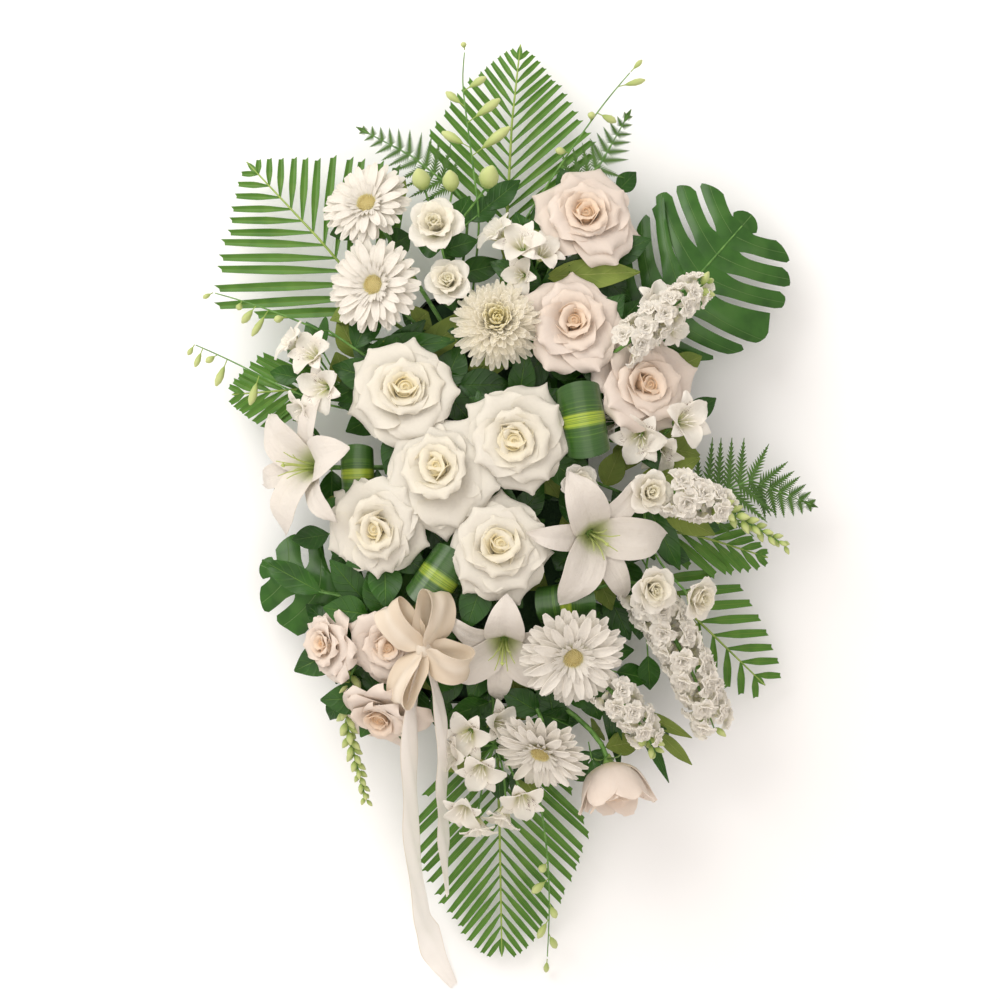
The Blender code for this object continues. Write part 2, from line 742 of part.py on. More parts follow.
def palm_head(line, count, reach, power, sweep, droop, root=6 * MM, width=7 * MM, cut=(None, None)):
    """A palm frond: line is its rib on the plan, reach the longest leaflets left and right."""
    spine = []
    pairs = along([spot(*p) for p in line], count + 1)
    whole = along([spot(*p) for p in line], 80)
    length = np.linalg.norm(np.diff(whole, axis=0), axis=1).sum()
    share = min(root / (length / count), 0.6)
    for a, b in zip(pairs[:-1], pairs[1:]):
        spine += [a, a + (b - a) * share]
    spine = np.array(spine)
    lobes = {-1: [], 1: []}
    for side, longest in ((-1, reach[0]), (1, reach[1])):
        for j in range(count):
            t = j / count
            start, end = spine[2 * j], spine[2 * j + 1]
            run = unit(end - start)
            out = unit(np.cross(run, (0, 0, 1))) * side
            angle = math.radians(sweep[0] + (sweep[1] - sweep[0]) * t)
            way = run * math.cos(angle) + out * math.sin(angle)
            size = longest * PLAN_UNIT * (1 - t) ** power
            tip = (start + end) / 2 + way * size - np.array([0, 0, droop * size])
            tip[2] = max(tip[2], 3 * MM)
            spread = unit(np.cross(way, (0, 0, 1))) * width * 0.36 * side
            lobes[side].append([tip + spread, tip - spread])
    end = spine[-1] + unit(spine[-1] - spine[-2]) * 9 * MM
    ribs = np.linspace(1.8 * MM, 0.9 * MM, len(spine))
    return [pinnate(spine, ribs, lobes[-1], lobes[1], end, True, 2.2 * MM)]


def fern_head(line, count, reach, sweep=62):
    """A leatherleaf fern: tapering pinnae in one sheet."""
    spine = along([spot(*p) for p in line], count + 1)
    lobes = {-1: [], 1: []}
    for side in (-1, 1):
        for j in range(count):
            t = j / count
            start, end = spine[j], spine[j + 1]
            run = unit(end - start)
            out = unit(np.cross(run, (0, 0, 1))) * side
            angle = math.radians(sweep - 12 * t)
            way = run * math.cos(angle) + out * math.sin(angle)
            size = reach * PLAN_UNIT * (1 - t) ** 0.8 * (1.0 if t > 0.12 else 0.8)
            middle = (start + end) / 2
            aside = unit(np.cross(way, (0, 0, 1))) * side * size * 0.17
            mid, end = middle + way * size * 0.35, middle + way * size - (0, 0, 0.1 * size)
            lobes[side].append([mid + aside, end, mid - aside])
    end = spine[-1] + unit(spine[-1] - spine[-2]) * 8 * MM
    ribs = np.linspace(1.4 * MM, 0.8 * MM, len(spine))
    return [pinnate(spine, ribs, lobes[-1], lobes[1], end, False, 1.8 * MM)]


def monstera_head(line, half, slots, web, droop):
    """A monstera leaf: line is its midrib on the plan, half its half width, slots lobes a side."""
    pairs = along([spot(*p) for p in line], slots + 1)
    spine = []
    for a, b in zip(pairs[:-1], pairs[1:]):
        spine += [a, a + (b - a) * 0.8]
    spine = np.array(spine)
    lobes = {-1: [], 1: []}
    rib = []
    for k in range(len(spine)):
        t = k / (len(spine) - 1)
        rib.append(web * PLAN_UNIT * math.sin(math.pi * (0.18 + 0.72 * t)))
    for side in (-1, 1):
        for j in range(slots):
            outline = []
            for step, t in enumerate((j + 0.0, j + 0.42, j + 0.84)):
                t = t / slots
                width = half * PLAN_UNIT * math.sin(math.pi * (0.20 + 0.70 * t)) ** 0.7
                k = min(int(t * slots) * 2 + (step > 0), len(spine) - 1)
                run = unit(spine[min(k + 1, len(spine) - 1)] - spine[max(k - 1, 0)])
                out = unit(np.cross(run, (0, 0, 1))) * side
                place = pairs[j] + (pairs[j + 1] - pairs[j]) * (0.0, 0.42, 0.84)[step]
                point = place + out * width + run * width * 0.38
                point[2] = max(point[2] - droop * width * width / (half * PLAN_UNIT), 4 * MM)
                outline.append(point)
            lobes[side].append(outline)
    end = spine[-1] + unit(spine[-1] - spine[-2]) * 24 * MM
    return [pinnate(spine, rib, lobes[-1], lobes[1], end, True, 1.6 * MM, 1.0 * MM)]


def lay_frond(bed, name, head, line, radius, colour, low):
    """Stands a frond's stalk in the foam's side, at the free height nearest to the wanted one."""
    start = spot(*line[0])
    axis = unit(spot(*line[1]) - start)
    tries = []
    for shift in SHIFTS:
        lift = np.array([0, 0, shift])
        heads = moved(head, np.eye(3), lift)
        if heads[0][0][:, 2].min() > 1.0 * MM:
            for more in (0, 8 * MM, -6 * MM, 15 * MM):
                tries.append((heads, start + lift, axis, radius, colour, 4, low + more))
    return bed.tried(name, tries)


# Sprays


def spray_head(florets, fork, level, stalk=1.3 * MM):
    """Several small heads on side stems from one fork: florets lists (maker, size, u, v, rise, lean)."""
    u, v, drop = fork
    centre = spot(u, v, level - drop)
    pieces = []
    for i, (maker, size, fu, fv, rise, lean) in enumerate(florets):
        axis = dome_at(fu, fv)[1] if lean is None else leaning(*lean)
        middle = size * 0.8
        base = spot(fu, fv, level + rise) - axis * middle
        made = bud(size * 2.2, size) if maker is bud else maker(size, 31 * i + int(fu))
        head = moved([made], turn(axis, 40 * i), base)[0]
        pieces.append(pedicel(head, centre, axis, stalk, i > 0))
    return pieces, centre


def spike_head(line, count, sizes, seed, level, core, buds=0):
    """Florets in rows of three over a slim core, smaller towards its tip, and buds past them."""
    rng = random.Random(seed)
    rib = along([spot(u, v, level + z) for u, v, z in line], 4)
    pieces = [open_tube(rib, np.linspace(core, 1.2 * MM, 4), 4)]
    total = count + buds
    places = along(rib, 10 * total + 11)
    way = unit(rib[-1] - rib[0])
    out = unit(np.cross(way, (0, 0, 1)))
    rise = np.cross(out, way)
    for i in range(total):
        share = (i + 0.6) / total
        place = places[int(share * (len(places) - 1))]
        girth = core + (1.2 * MM - core) * share
        angle = math.radians((90, 10, 170)[i % 3] + rng.uniform(-12, 12))
        aside = unit(out * math.cos(angle) + rise * math.sin(angle) + way * (0.15 + 0.45 * share))
        size = sizes[0] + (sizes[1] - sizes[0]) * share
        if i < count:
            depth = size * 0.75
            floret = star(size, size * 0.25, depth, seed + 13 * i)
            pieces += moved(floret, turn(aside), place + aside * (depth + girth * 0.3))
        else:
            body = turned([(1.0 * MM, 0), (size * 0.45, size * 0.8), (0.8 * MM, size * 1.7)], 3)
            pieces += moved([body], turn(aside, 45), place)
    return pieces, rib[0]


def orchid_head(line, buds, radius=1.2 * MM):
    """A thin stem with hanging buds: buds lists the share along the stem, the tip (u, v, z) and width."""
    rib = along([spot(*p) for p in line], 5)
    pieces = [open_tube(rib, np.linspace(radius, radius * 0.6, 5), 3)]
    fine = along(rib, 100)
    for share, tip, width in buds:
        root = fine[int(share * 99)]
        end = spot(*tip)
        reach = np.linalg.norm(end - root)
        body = turned([(0.8 * MM, 0), (width * MM / 2, reach * 0.62), (0.9 * MM, reach)], 3)
        pieces += moved([body], turn(end - root, 20), root)
    return pieces, rib[0]


def branch_head(line, leaves, radius=1.8 * MM):
    """A woody stem with broad leaves: leaves lists (share, tip (u, v, z), width)."""
    rib = along([spot(*p) for p in line], 4)
    pieces = [open_tube(rib, np.linspace(radius, radius * 0.6, 4), 3)]
    fine = along(rib, 100)
    for share, tip, width in leaves:
        root, end = fine[int(share * 99)], spot(*tip)
        reach = np.linalg.norm(end - root)
        pieces.append(aimed(leaf(reach, width * MM, 0.0, 0.14, LEAF, share <= 0.1), root, end))
    return pieces, rib[0]


def strap_loop(width, radius):
    """A broad strap leaf rolled back on itself about +Y, with its two ends brought together below."""
    steps, points, tris = 9, [], []
    for k in range(steps + 1):
        t = k / steps
        angle = math.radians(-88 + 350 * t)
        reach = radius * (1.0 - 0.22 * t)
        grow, shrink = (math.sin(math.pi / 2 * min(1.9 * part, 1.0)) for part in (t, 1 - t))
        half = width / 2 * (0.30 + 0.70 * grow * shrink)
        x, z = reach * math.cos(angle), reach * math.sin(angle)
        points += [(x, -half, z), (x, half, z)]
        if k:
            a = 2 * k - 2
            tris += [(a, a + 3, a + 1), (a, a + 2, a + 3)]
    heel = turned([(2.4 * MM, -radius - 10 * MM), (3.2 * MM, -radius * 0.70)], 4)
    return [blade(points, tris, 1.0 * MM), heel]


def ribbon(path, widths, across):
    """A strip of satin along a path, each row as wide as its width, across the given directions."""
    points, tris = [], []
    for k, (point, width, side) in enumerate(zip(path, widths, across)):
        side = unit(side) * width / 2
        points += [np.asarray(point) - side, np.asarray(point) + side]
        if k:
            a = 2 * k - 2
            tris += [(a, a + 3, a + 1), (a, a + 2, a + 3)]
    return blade(points, tris, RIBBON)


def bow_loop(knot, end, width, height, roll):
    """One loop of the bow, rolled by some degrees, from the knot out over the top and back below."""
    out = np.asarray(end) - np.asarray(knot)
    reach = np.linalg.norm(out)
    out = out / reach
    side = unit(np.cross((0, 0, 1), out))
    side = side * math.cos(math.radians(roll)) + np.cross(out, side) * math.sin(math.radians(roll))
    up = np.cross(out, side)
    profile = ((0.05, 0.10), (0.40, 0.34), (0.78, 0.34), (1.0, 0.10), (0.85, -0.10), (0.05, -0.06))
    path = [knot + out * x * reach + up * z * height / 0.34 for x, z in profile]
    shares = (0.22, 0.85, 1.0, 1.0, 1.0, 0.22)
    return ribbon(path, [width * s for s in shares], [side] * 6)


# Holder


def tray():
    outer = turned_box(TRAY_SIZE, TRAY_CORNER, 0.0, TRAY_HEIGHT)[0]
    n = len(outer) // 2
    inner_size = tuple(side - 2 * TRAY_WALL for side in TRAY_SIZE)
    inner = turned_box(inner_size, TRAY_CORNER - TRAY_WALL, TRAY_FLOOR, TRAY_HEIGHT)[0]
    points = np.vstack([outer, inner[n:], inner[:n]])
    tris = []
    for ring in range(3):
        for k in range(n):
            a, b = ring * n + k, ring * n + (k + 1) % n
            tris += [(a, b, b + n), (a, b + n, a + n)]
    for k in range(1, n - 1):
        tris += [(0, k + 1, k), (3 * n, 3 * n + k, 3 * n + k + 1)]
    made = mesh_object("tray", points, tris)
    made.data.materials.append(material("tray_green"))


def foam(holes):
    """The foam block with a plain hole for each stem."""
    points, tris = turned_box(FOAM_SIZE, FOAM_CORNER, TRAY_FLOOR + FIT_GAP, FOAM_TOP)
    block = mesh_object("foam", points, tris)
    drills = bpy.data.collections.new("drills")
    bpy.context.scene.collection.children.link(drills)
    for bottom, way, radius, sides in holes:
        grown = radius + HOLE_GAP / math.cos(math.pi / sides)
        path = [bottom - way * HOLE_GAP, bottom + way * (HOLE_DEPTH + 14 * MM)]
        mesh_object("drill", *tube(path, grown, sides), drills)
    cut = block.modifiers.new("holes", "BOOLEAN")
    cut.operation = "DIFFERENCE"
    cut.operand_type = "COLLECTION"
    cut.collection = drills
    cut.solver = "MANIFOLD"
    graph = bpy.context.evaluated_depsgraph_get()
    drilled = bpy.data.meshes.new_from_object(block.evaluated_get(graph))
    block.modifiers.remove(cut)
    block.data = drilled
    for item in list(drills.objects):
        bpy.data.objects.remove(item)
    bpy.data.collections.remove(drills)
    points, tris = outer_body(*mesh_arrays(block.data))
    bpy.data.objects.remove(block)
    made = mesh_object("foam", points, tris)
    made.data.materials.append(material("foam_green"))


# The plan of the arrangement: (u, v) on the layout plan, z and heights in metres, sizes in mm

PALMS = {
    # name: rib (u, v, z), leaflets a side, longest left and right, power, sweep, droop, stalk height
    "palm_top": (
        [(506, 235, 0.075), (512, 121, 0.07), (521, 40, 0.035)],
        11, (126, 126), 0.78, (50, 34), 0.10, 0.066,
    ),
    "palm_upper_left": (
        [(380, 310, 0.070), (320, 240, 0.075), (243, 158, 0.045)],
        11, (170, 150), 0.9, (52, 40), 0.12, 0.062,
    ),
    "palm_bottom": (
        [(497, 725, 0.070), (500, 850, 0.060), (502, 965, 0.020)],
        11, (140, 140), 0.6, (47, 32), 0.12, 0.066,
    ),
    "palm_lower_right": (
        [(655, 580, 0.070), (710, 632, 0.06), (770, 690, 0.035)],
        8, (82, 70), 0.5, (50, 40), 0.14, 0.062,
    ),
    "palm_right": (
        [(650, 528, 0.078), (700, 536, 0.075), (776, 560, 0.050)],
        6, (60, 76), 0.7, (34, 26), 0.12, 0.072,
    ),
    "palm_left": (
        [(340, 385, 0.072), (290, 390, 0.068), (226, 395, 0.045)],
        6, (80, 80), 0.7, (34, 26), 0.10, 0.066,
    ),
}

FERNS = {
    # name: rib, pinnae a side, longest, stalk height
    "fern_top_left": ([(455, 190, 0.085), (410, 155, 0.085), (362, 130, 0.075)], 8, 42, 0.066),
    "fern_top_right": ([(560, 200, 0.085), (600, 165, 0.085), (628, 115, 0.070)], 8, 44, 0.070),
    "fern_right": ([(690, 505, 0.085), (750, 480, 0.085), (812, 505, 0.060)], 9, 66, 0.072),
}

MONSTERAS = {
    # name: midrib, half width, lobes a side, half width of the web, droop, stalk height
    "monstera_right": ([(628, 330, 0.080), (690, 285, 0.090), (742, 226, 0.075)], 88, 6, 44, 0.30, 0.070),
    "monstera_left": ([(372, 600, 0.075), (325, 592, 0.080), (272, 570, 0.060)], 50, 5, 24, 0.30, 0.070),
}

ROSES = (
    # number, (u, v), radius, opening, lean (azimuth, degrees) or None for the dome's
    (1, (592, 210), 57, 0.9, (60, 30)),
    (2, (579, 320), 48, 0.75, None),
    (3, (650, 378), 54, 0.8, (30, 30)),
    (4, (397, 389), 55, 1.0, None),
    (5, (519, 435), 54, 1.0, None),
    (6, (437, 475), 58, 1.0, None),
    (7, (368, 528), 52, 0.95, (200, 22)),
    (8, (499, 552), 54, 1.0, None),
    (9, (383, 650), 40, 0.7, (230, 24)),
    (10, (323, 648), 36, 0.45, (190, 48)),
    (11, (380, 722), 40, 0.5, (250, 52)),
    (12, (612, 780), 38, 0.25, (282, 74)),
)

WHITE_ROSES = (4, 5, 6, 7, 8)

GERBERAS = (
    # number, (u, v), radius, lean
    (1, (367, 204), 46, (125, 30)),
    (2, (374, 285), 50, (165, 20)),
    (3, (573, 657), 55, (285, 24)),
    (4, (541, 752), 50, (245, 46)),
)

MUM_PLACE = (497, 321)

LILIES = (
    # number, (u, v), radius, lean, spin
    (1, (296, 466), 66, (178, 46), 12),
    (2, (600, 540), 68, (325, 24), -2),
    (3, (503, 655), 62, (265, 34), 84),
)

LOOPS = (
    # number, (u, v), strap width, radius, direction of the roll's axis on the plan in degrees
    (1, (356, 474), 66, 20, 92),
    (2, (582, 420), 84, 27, 100),
    (3, (437, 577), 72, 25, 55),
    (4, (565, 601), 66, 22, 8),
)

SPRAYS = {
    # name: stem radius, fork (u, v, drop below the dome), florets (maker, size, u, v, rise, lean)
    "lisianthus_top": (
        1.6 * MM,
        (440, 240, 0.040),
        (
            (lisianthus, 26 * MM, 435, 224, 0.012, None),
            (lisianthus, 22 * MM, 448, 281, 0.006, None),
            (bud, 13 * MM, 422, 182, 0.0, (110, 40)),
            (bud, 12 * MM, 451, 184, 0.004, (95, 45)),
            (bud, 14 * MM, 488, 180, 0.0, (70, 40)),
        ),
    ),
    "lisianthus_right": (
        1.6 * MM,
        (650, 545, 0.045),
        (
            (lisianthus, 21 * MM, 650, 492, 0.006, None),
            (lisianthus, 22 * MM, 653, 589, 0.0, None),
            (lisianthus, 21 * MM, 699, 597, -0.004, (340, 48)),
            (lisianthus, 18 * MM, 580, 484, 0.0, None),
        ),
    ),
    "alstroemeria_top": (
        1.6 * MM,
        (535, 270, 0.040),
        ((trumpet, 27 * MM, 520, 240, 0.0, (110, 30)), (trumpet, 24 * MM, 545, 248, -0.004, (60, 40))),
    ),
    "alstroemeria_right": (
        1.6 * MM,
        (655, 445, 0.045),
        (
            (trumpet, 30 * MM, 640, 440, 0.0, (250, 20)),
            (trumpet, 30 * MM, 690, 420, 0.0, (10, 35)),
            (trumpet, 24 * MM, 660, 300, -0.004, (60, 30)),
        ),
    ),
    "alstroemeria_left": (
        1.6 * MM,
        (335, 385, 0.045),
        ((trumpet, 26 * MM, 308, 350, 0.0, (140, 40)), (trumpet, 28 * MM, 318, 388, 0.004, (190, 30))),
    ),
    "alstroemeria_bottom": (
        1.6 * MM,
        (495, 745, 0.030),
        (
            (trumpet, 27 * MM, 480, 775, 0.0, (260, 50)),
            (trumpet, 26 * MM, 522, 805, -0.010, (275, 60)),
            (trumpet, 24 * MM, 462, 815, -0.020, (250, 64)),
        ),
    ),
}

SPIKES = {
    # name: line (u, v, rise), florets, sizes, core, buds, seed
    "stock_upper_right": (
        ((625, 345, -0.01), (665, 312, 0.0), (706, 283, -0.01)),
        8, (14 * MM, 10 * MM), 5 * MM, 0, 11,
    ),
    "stock_lower_right": (
        ((645, 590, 0.0), (690, 660, 0.0), (716, 730, -0.02)),
        11, (17 * MM, 13 * MM), 6 * MM, 0, 22,
    ),
    "stock_lower_middle": (
        ((610, 690, 0.0), (640, 720, -0.004), (655, 752, -0.02)),
        4, (14 * MM, 10 * MM), 5 * MM, 3, 33,
    ),
    "snapdragon_right": (
        ((672, 492, 0.0), (720, 506, 0.0), (784, 545, -0.012)),
        4, (15 * MM, 7 * MM), 4 * MM, 6, 44,
    ),
    "snapdragon_left": (
        ((352, 672, -0.02), (344, 715, -0.03), (366, 800, -0.07)),
        1, (11 * MM, 6 * MM), 3 * MM, 8, 55,
    ),
}

ORCHIDS = {
    # name: stem line, buds (share along it, tip, width), stalk height
    "orchid_top_left": (
        ((478, 205, 0.10), (467, 120, 0.10), (460, 72, 0.085), (465, 47, 0.07)),
        (
            (0.98, (463, 42, 0.075), 7), (0.7, (486, 77, 0.09), 9), (0.6, (446, 92, 0.09), 9),
            (0.5, (500, 99, 0.10), 11), (0.35, (442, 132, 0.095), 11),
            (0.3, (510, 127, 0.11), 12),
        ),
        0.074,
    ),
    "orchid_top_right": (
        ((528, 215, 0.10), (570, 150, 0.10), (610, 95, 0.09), (634, 68, 0.07)),
        (
            (0.97, (642, 60, 0.07), 6), (0.85, (645, 80, 0.075), 8), (0.66, (616, 122, 0.085), 9),
            (0.6, (592, 112, 0.1), 9), (0.4, (556, 150, 0.11), 9),
        ),
        0.074,
    ),
    "orchid_upper_left": (
        ((330, 335, 0.095), (285, 315, 0.10), (240, 300, 0.09), (211, 292, 0.07)),
        (
            (0.98, (203, 298, 0.07), 6), (0.72, (238, 310, 0.085), 8),
            (0.6, (242, 323, 0.085), 9), (0.35, (274, 320, 0.10), 9), (0.5, (252, 336, 0.085), 8),
        ),
        0.074,
    ),
    "orchid_lower_left": (
        ((320, 402, 0.095), (283, 388, 0.10), (235, 362, 0.09), (191, 343, 0.065)),
        (
            (0.97, (188, 355, 0.065), 6), (0.9, (195, 367, 0.07), 7),
            (0.78, (206, 362, 0.085), 8), (0.7, (216, 386, 0.08), 9),
            (0.45, (250, 405, 0.09), 10),
        ),
        0.074,
    ),
    "orchid_bottom": (
        ((540, 800, 0.095), (549, 860, 0.085), (550, 910, 0.060), (547, 962, 0.020)),
        (
            (0.98, (546, 972, 0.010), 7), (0.8, (556, 948, 0.03), 9), (0.7, (538, 938, 0.04), 9),
            (0.6, (556, 918, 0.06), 9), (0.45, (532, 893, 0.07), 10),
            (0.35, (540, 872, 0.08), 10),
        ),
        0.074,
    ),
}

BRANCHES = {
    # name: stem line, and leaves (share along it, tip, width)
    "foliage_upper_left": (
        ((405, 385, 0.105), (350, 345, 0.125), (320, 325, 0.120)),
        (
            (0.9, (318, 330, 0.125), 30), (0.5, (455, 340, 0.135), 34),
            (0.2, (330, 400, 0.10), 36), (0.6, (380, 295, 0.12), 34),
            (0.3, (425, 320, 0.125), 32), (0.0, (446, 436, 0.110), 38), (0.1, (476, 306, 0.114), 36),
        ),
    ),
    "foliage_upper": (
        ((520, 330, 0.115), (545, 280, 0.130), (560, 240, 0.120)),
        (
            (0.9, (500, 235, 0.125), 30), (0.6, (640, 272, 0.125), 34),
            (0.4, (610, 250, 0.12), 36), (0.5, (490, 262, 0.125), 34),
            (0.0, (462, 388, 0.110), 36), (0.1, (556, 392, 0.112), 36),
        ),
    ),
    "foliage_right": (
        ((590, 480, 0.115), (640, 500, 0.125), (670, 510, 0.120)),
        (
            (0.9, (715, 535, 0.115), 30), (0.5, (700, 458, 0.125), 34),
            (0.3, (655, 560, 0.115), 34), (0.7, (680, 570, 0.11), 32),
            (0.2, (620, 450, 0.12), 30), (0.0, (528, 492, 0.108), 34), (0.1, (556, 556, 0.104), 34),
        ),
    ),
    "foliage_lower_right": (
        ((590, 650, 0.10), (630, 700, 0.10), (660, 735, 0.085)),
        (
            (0.95, (692, 765, 0.075), 15), (0.7, (692, 738, 0.085), 15),
            (0.6, (669, 783, 0.07), 15), (0.2, (620, 770, 0.085), 20),
            (0.0, (536, 612, 0.104), 34), (0.1, (520, 706, 0.096), 32),
        ),
    ),
    "foliage_lower_left": (
        ((420, 610, 0.105), (360, 600, 0.115), (310, 590, 0.105)),
        (
            (0.9, (262, 560, 0.10), 30), (0.5, (330, 560, 0.12), 32), (0.3, (400, 560, 0.12), 34),
            (0.4, (350, 690, 0.09), 30), (0.0, (488, 614, 0.104), 34), (0.05, (452, 690, 0.098), 32),
        ),
    ),
}

BOW_KNOT = (424, 649, 0.172)
BOW_WIDTH = 38 * MM
BOW_LOOPS = (
    # end (u, v), rise over the knot, height of the loop in mm, roll in degrees
    ((430, 592), 9 * MM, 15, 24),
    ((384, 596), 4 * MM, 13, -38),
    ((470, 672), 4 * MM, 15, 26),
    ((396, 706), 5 * MM, 12, 46),
)
TAILS = (
    # how steeply the strip stands across its run, rows, and its points (u, v, z)
    (
        58, 11,
        ((424, 658, 0.168), (412, 700, 0.168), (409, 740, 0.162), (410, 790, 0.120), (411, 835, 0.085,
    ),
              (416, 880, 0.062), (425, 930, 0.038), (441, 955, 0.010), (463, 977, 0.0015))),
    (
        74, 8,
        ((429, 658, 0.168), (438, 700, 0.168), (442, 734, 0.164), (442, 790, 0.120), (443, 830, 0.090,
    ),
             (446, 868, 0.078), (451, 891, 0.074))),
)
BOW_PICK = 1.5 * MM


def bow_pieces(lift):
    """The knot, four loops and two tails, raised by lift where they are high over the surface."""
    knot = spot(*BOW_KNOT) + (0, 0, lift)
    pieces = [turned([(9 * MM, -7 * MM), (9 * MM, 7 * MM)], 6)]
    pieces[0] = (pieces[0][0] + knot, pieces[0][1])
    for (u, v), rise, height, roll in BOW_LOOPS:
        end = spot(u, v, knot[2] + rise)
        pieces.append(bow_loop(knot, end, BOW_WIDTH, height * MM, roll))
    for steep, rows, line in TAILS:
        raised = [(u, v, z + lift * min(z / BOW_KNOT[2], 1.0) ** 2) for u, v, z in line]
        path = along([spot(*p) for p in raised], rows)
        path[0] = knot + unit(path[1] - knot) * 4 * MM
        across = []
        for k in range(rows):
            run = unit(path[min(k + 1, rows - 1)] - path[max(k - 1, 0)])
            flat = unit(np.cross(run, (0, 0, 1)))
            tilt = math.radians(steep) * min(1.0, max(0.0, (path[k][2] - 12 * MM) / (30 * MM)))
            across.append(flat * math.cos(tilt) + np.cross(flat, run) * math.sin(tilt))
        widths = np.interp(np.arange(rows), [0, 2, rows], [0.2 * BOW_WIDTH, BOW_WIDTH, BOW_WIDTH])
        pieces.append(ribbon(path, widths, across))
    return pieces, knot


def lay_bow(bed):
    """Stands the bow on its wooden pick, at the free height nearest to the wanted one."""
    for shift in SHIFTS:
        pieces, knot = bow_pieces(shift)
        if not is_clear(pieces, bed.placed + [bed.block, bed.rim]):
            continue
        top = knot - (0, 0, 7 * MM + FIT_GAP)
        for foot, way in bed.top_feet(knot):
            path = [foot - way * HOLE_DEPTH, foot + way * 7 * MM, top - (0, 0, 6 * MM), top]
            pick = tube(path, BOW_PICK, 4)
            if is_clear([pick], bed.placed):
                bed.placed += [tree_of(pieces), tree_of([pick])]
                bed.holes.append((path[0], way, BOW_PICK, 4))
                fuse("bow_pick", [pick], "pick_wood")
                return fuse("ribbon_bow", pieces, "satin_cream")
    raise RuntimeError("the bow has no free place")


def lay_fronds(bed):
    for name, (line, count, reach, power, sweep, droop, low) in PALMS.items():
        head = palm_head(line, count, reach, power, sweep, droop)
        lay_frond(bed, name, head, line, 2.2 * MM, "palm_green", low)
    for name, (line, half, slots, web, droop, low) in MONSTERAS.items():
        head = monstera_head(line, half, slots, web, droop)
        lay_frond(bed, name, head, line, 2.6 * MM, "dark_green", low)
    for name, (line, count, reach, low) in FERNS.items():
        lay_frond(bed, name, fern_head(line, count, reach), line, 1.6 * MM, "fern_green", low)


def lay_branches(bed):
    for name, (line, leaves) in BRANCHES.items():
        pieces, _ = branch_head(line, leaves)
        axis = unit(spot(*line[1]) - spot(*line[0]))
        place_made(bed, name, pieces, spot(*line[0]), axis, 2.0 * MM, "dark_green")


def lay_orchids(bed):
    for name, (line, buds, low) in ORCHIDS.items():
        pieces, _ = orchid_head(line, buds)
        axis = unit(spot(*line[1]) - spot(*line[0]))
        place_made(bed, name, pieces, spot(*line[0]), axis, 1.3 * MM, "bud_green", low)


def place_made(bed, name, pieces, base, axis, radius, colour, low=None):
    """Places a plant made where it should stand, at the free height nearest to that."""
    sides, tries = len(pieces[0][2]), []
    for shift in SHIFTS:
        lift = np.array([0, 0, shift])
        heads = moved(pieces, np.eye(3), lift)
        if min(points[:, 2].min() for points, *_ in heads) > 1.0 * MM:
            tries.append((heads, base + lift, axis, radius, colour, sides, low))
    return bed.tried(name, tries)


def lay_sprays(bed):
    for name, (radius, fork, florets) in SPRAYS.items():
        level, axis = dome_at(fork[0], fork[1])
        pieces, centre = spray_head(florets, fork, level)
        place_made(bed, name, pieces, centre, axis, radius, "white_petal")
    for name, (line, count, sizes, core, buds, seed) in SPIKES.items():
        level = dome_at(line[0][0], line[0][1])[0]
        pieces, start = spike_head(line, count, sizes, seed, level, core, buds)
        axis = unit(spot(*line[1][:2], level) - spot(*line[0][:2], level) + (0, 0, 0.02))
        place_made(bed, name, pieces, start, axis, 1.8 * MM, "white_petal")


def lay_heads(bed):
    """Blooms are placed from the outside of the dome to its middle."""
    jobs = []
    for number, place, radius, opening, lean in ROSES:
        axis = None if lean is None else leaning(*lean)
        colour = "white_petal" if number in WHITE_ROSES else "blush_petal"
        head = rose(radius * MM, opening, number)
        jobs.append((f"rose_{number}", head, place, axis, 0, 0.5 * radius * MM, 2.8 * MM, colour))
    for number, place, radius, lean in GERBERAS:
        head, axis = gerbera(radius * MM, number), leaning(*lean)
        jobs.append((f"gerbera_{number}", head, place, axis, 0, 6 * MM, 2.4 * MM, "white_petal"))
    for number, place, radius, lean, spin in LILIES:
        head, axis = lily(radius * MM, number), leaning(*lean)
        jobs.append((f"lily_{number}", head, place, axis, spin, 30 * MM, 2.8 * MM, "white_petal"))
    head = chrysanthemum(50 * MM, 5)
    jobs.append(("chrysanthemum", head, MUM_PLACE, None, 0, 22 * MM, 3.0 * MM, "white_petal"))
    jobs.sort(key=lambda job: dome_at(*job[2])[0])
    for job in jobs:
        settle(bed, *job)


def lay_loops(bed):
    for number, place, width, radius, heading in LOOPS:
        head, name = strap_loop(width * MM, radius * MM), f"strap_loop_{number}"
        middle = (radius - 8) * MM
        settle(bed, name, head, place, (0, 0, 1), heading - 90, middle, 2.4 * MM, "dark_green")


def main():
    clear_scene()
    bed = Bed()
    lay_fronds(bed)
    lay_branches(bed)
    lay_orchids(bed)
    lay_sprays(bed)
    lay_heads(bed)
    lay_loops(bed)
    lay_bow(bed)
    tray()
    foam(bed.holes)


main()
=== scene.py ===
# %% [markdown]
# # A casket spray of white flowers
# The real thing is a florist's casket spray: a shallow tray, a soaked block of floral foam, and some sixty
# stems pushed into it one after another, greenery first. We dress a plain solid model of it here, plant by
# plant. Every petal and leaf grows from the spot where its solid stands, so the two never drift apart.

# %% Load the frame of solids
import json
import math
import random

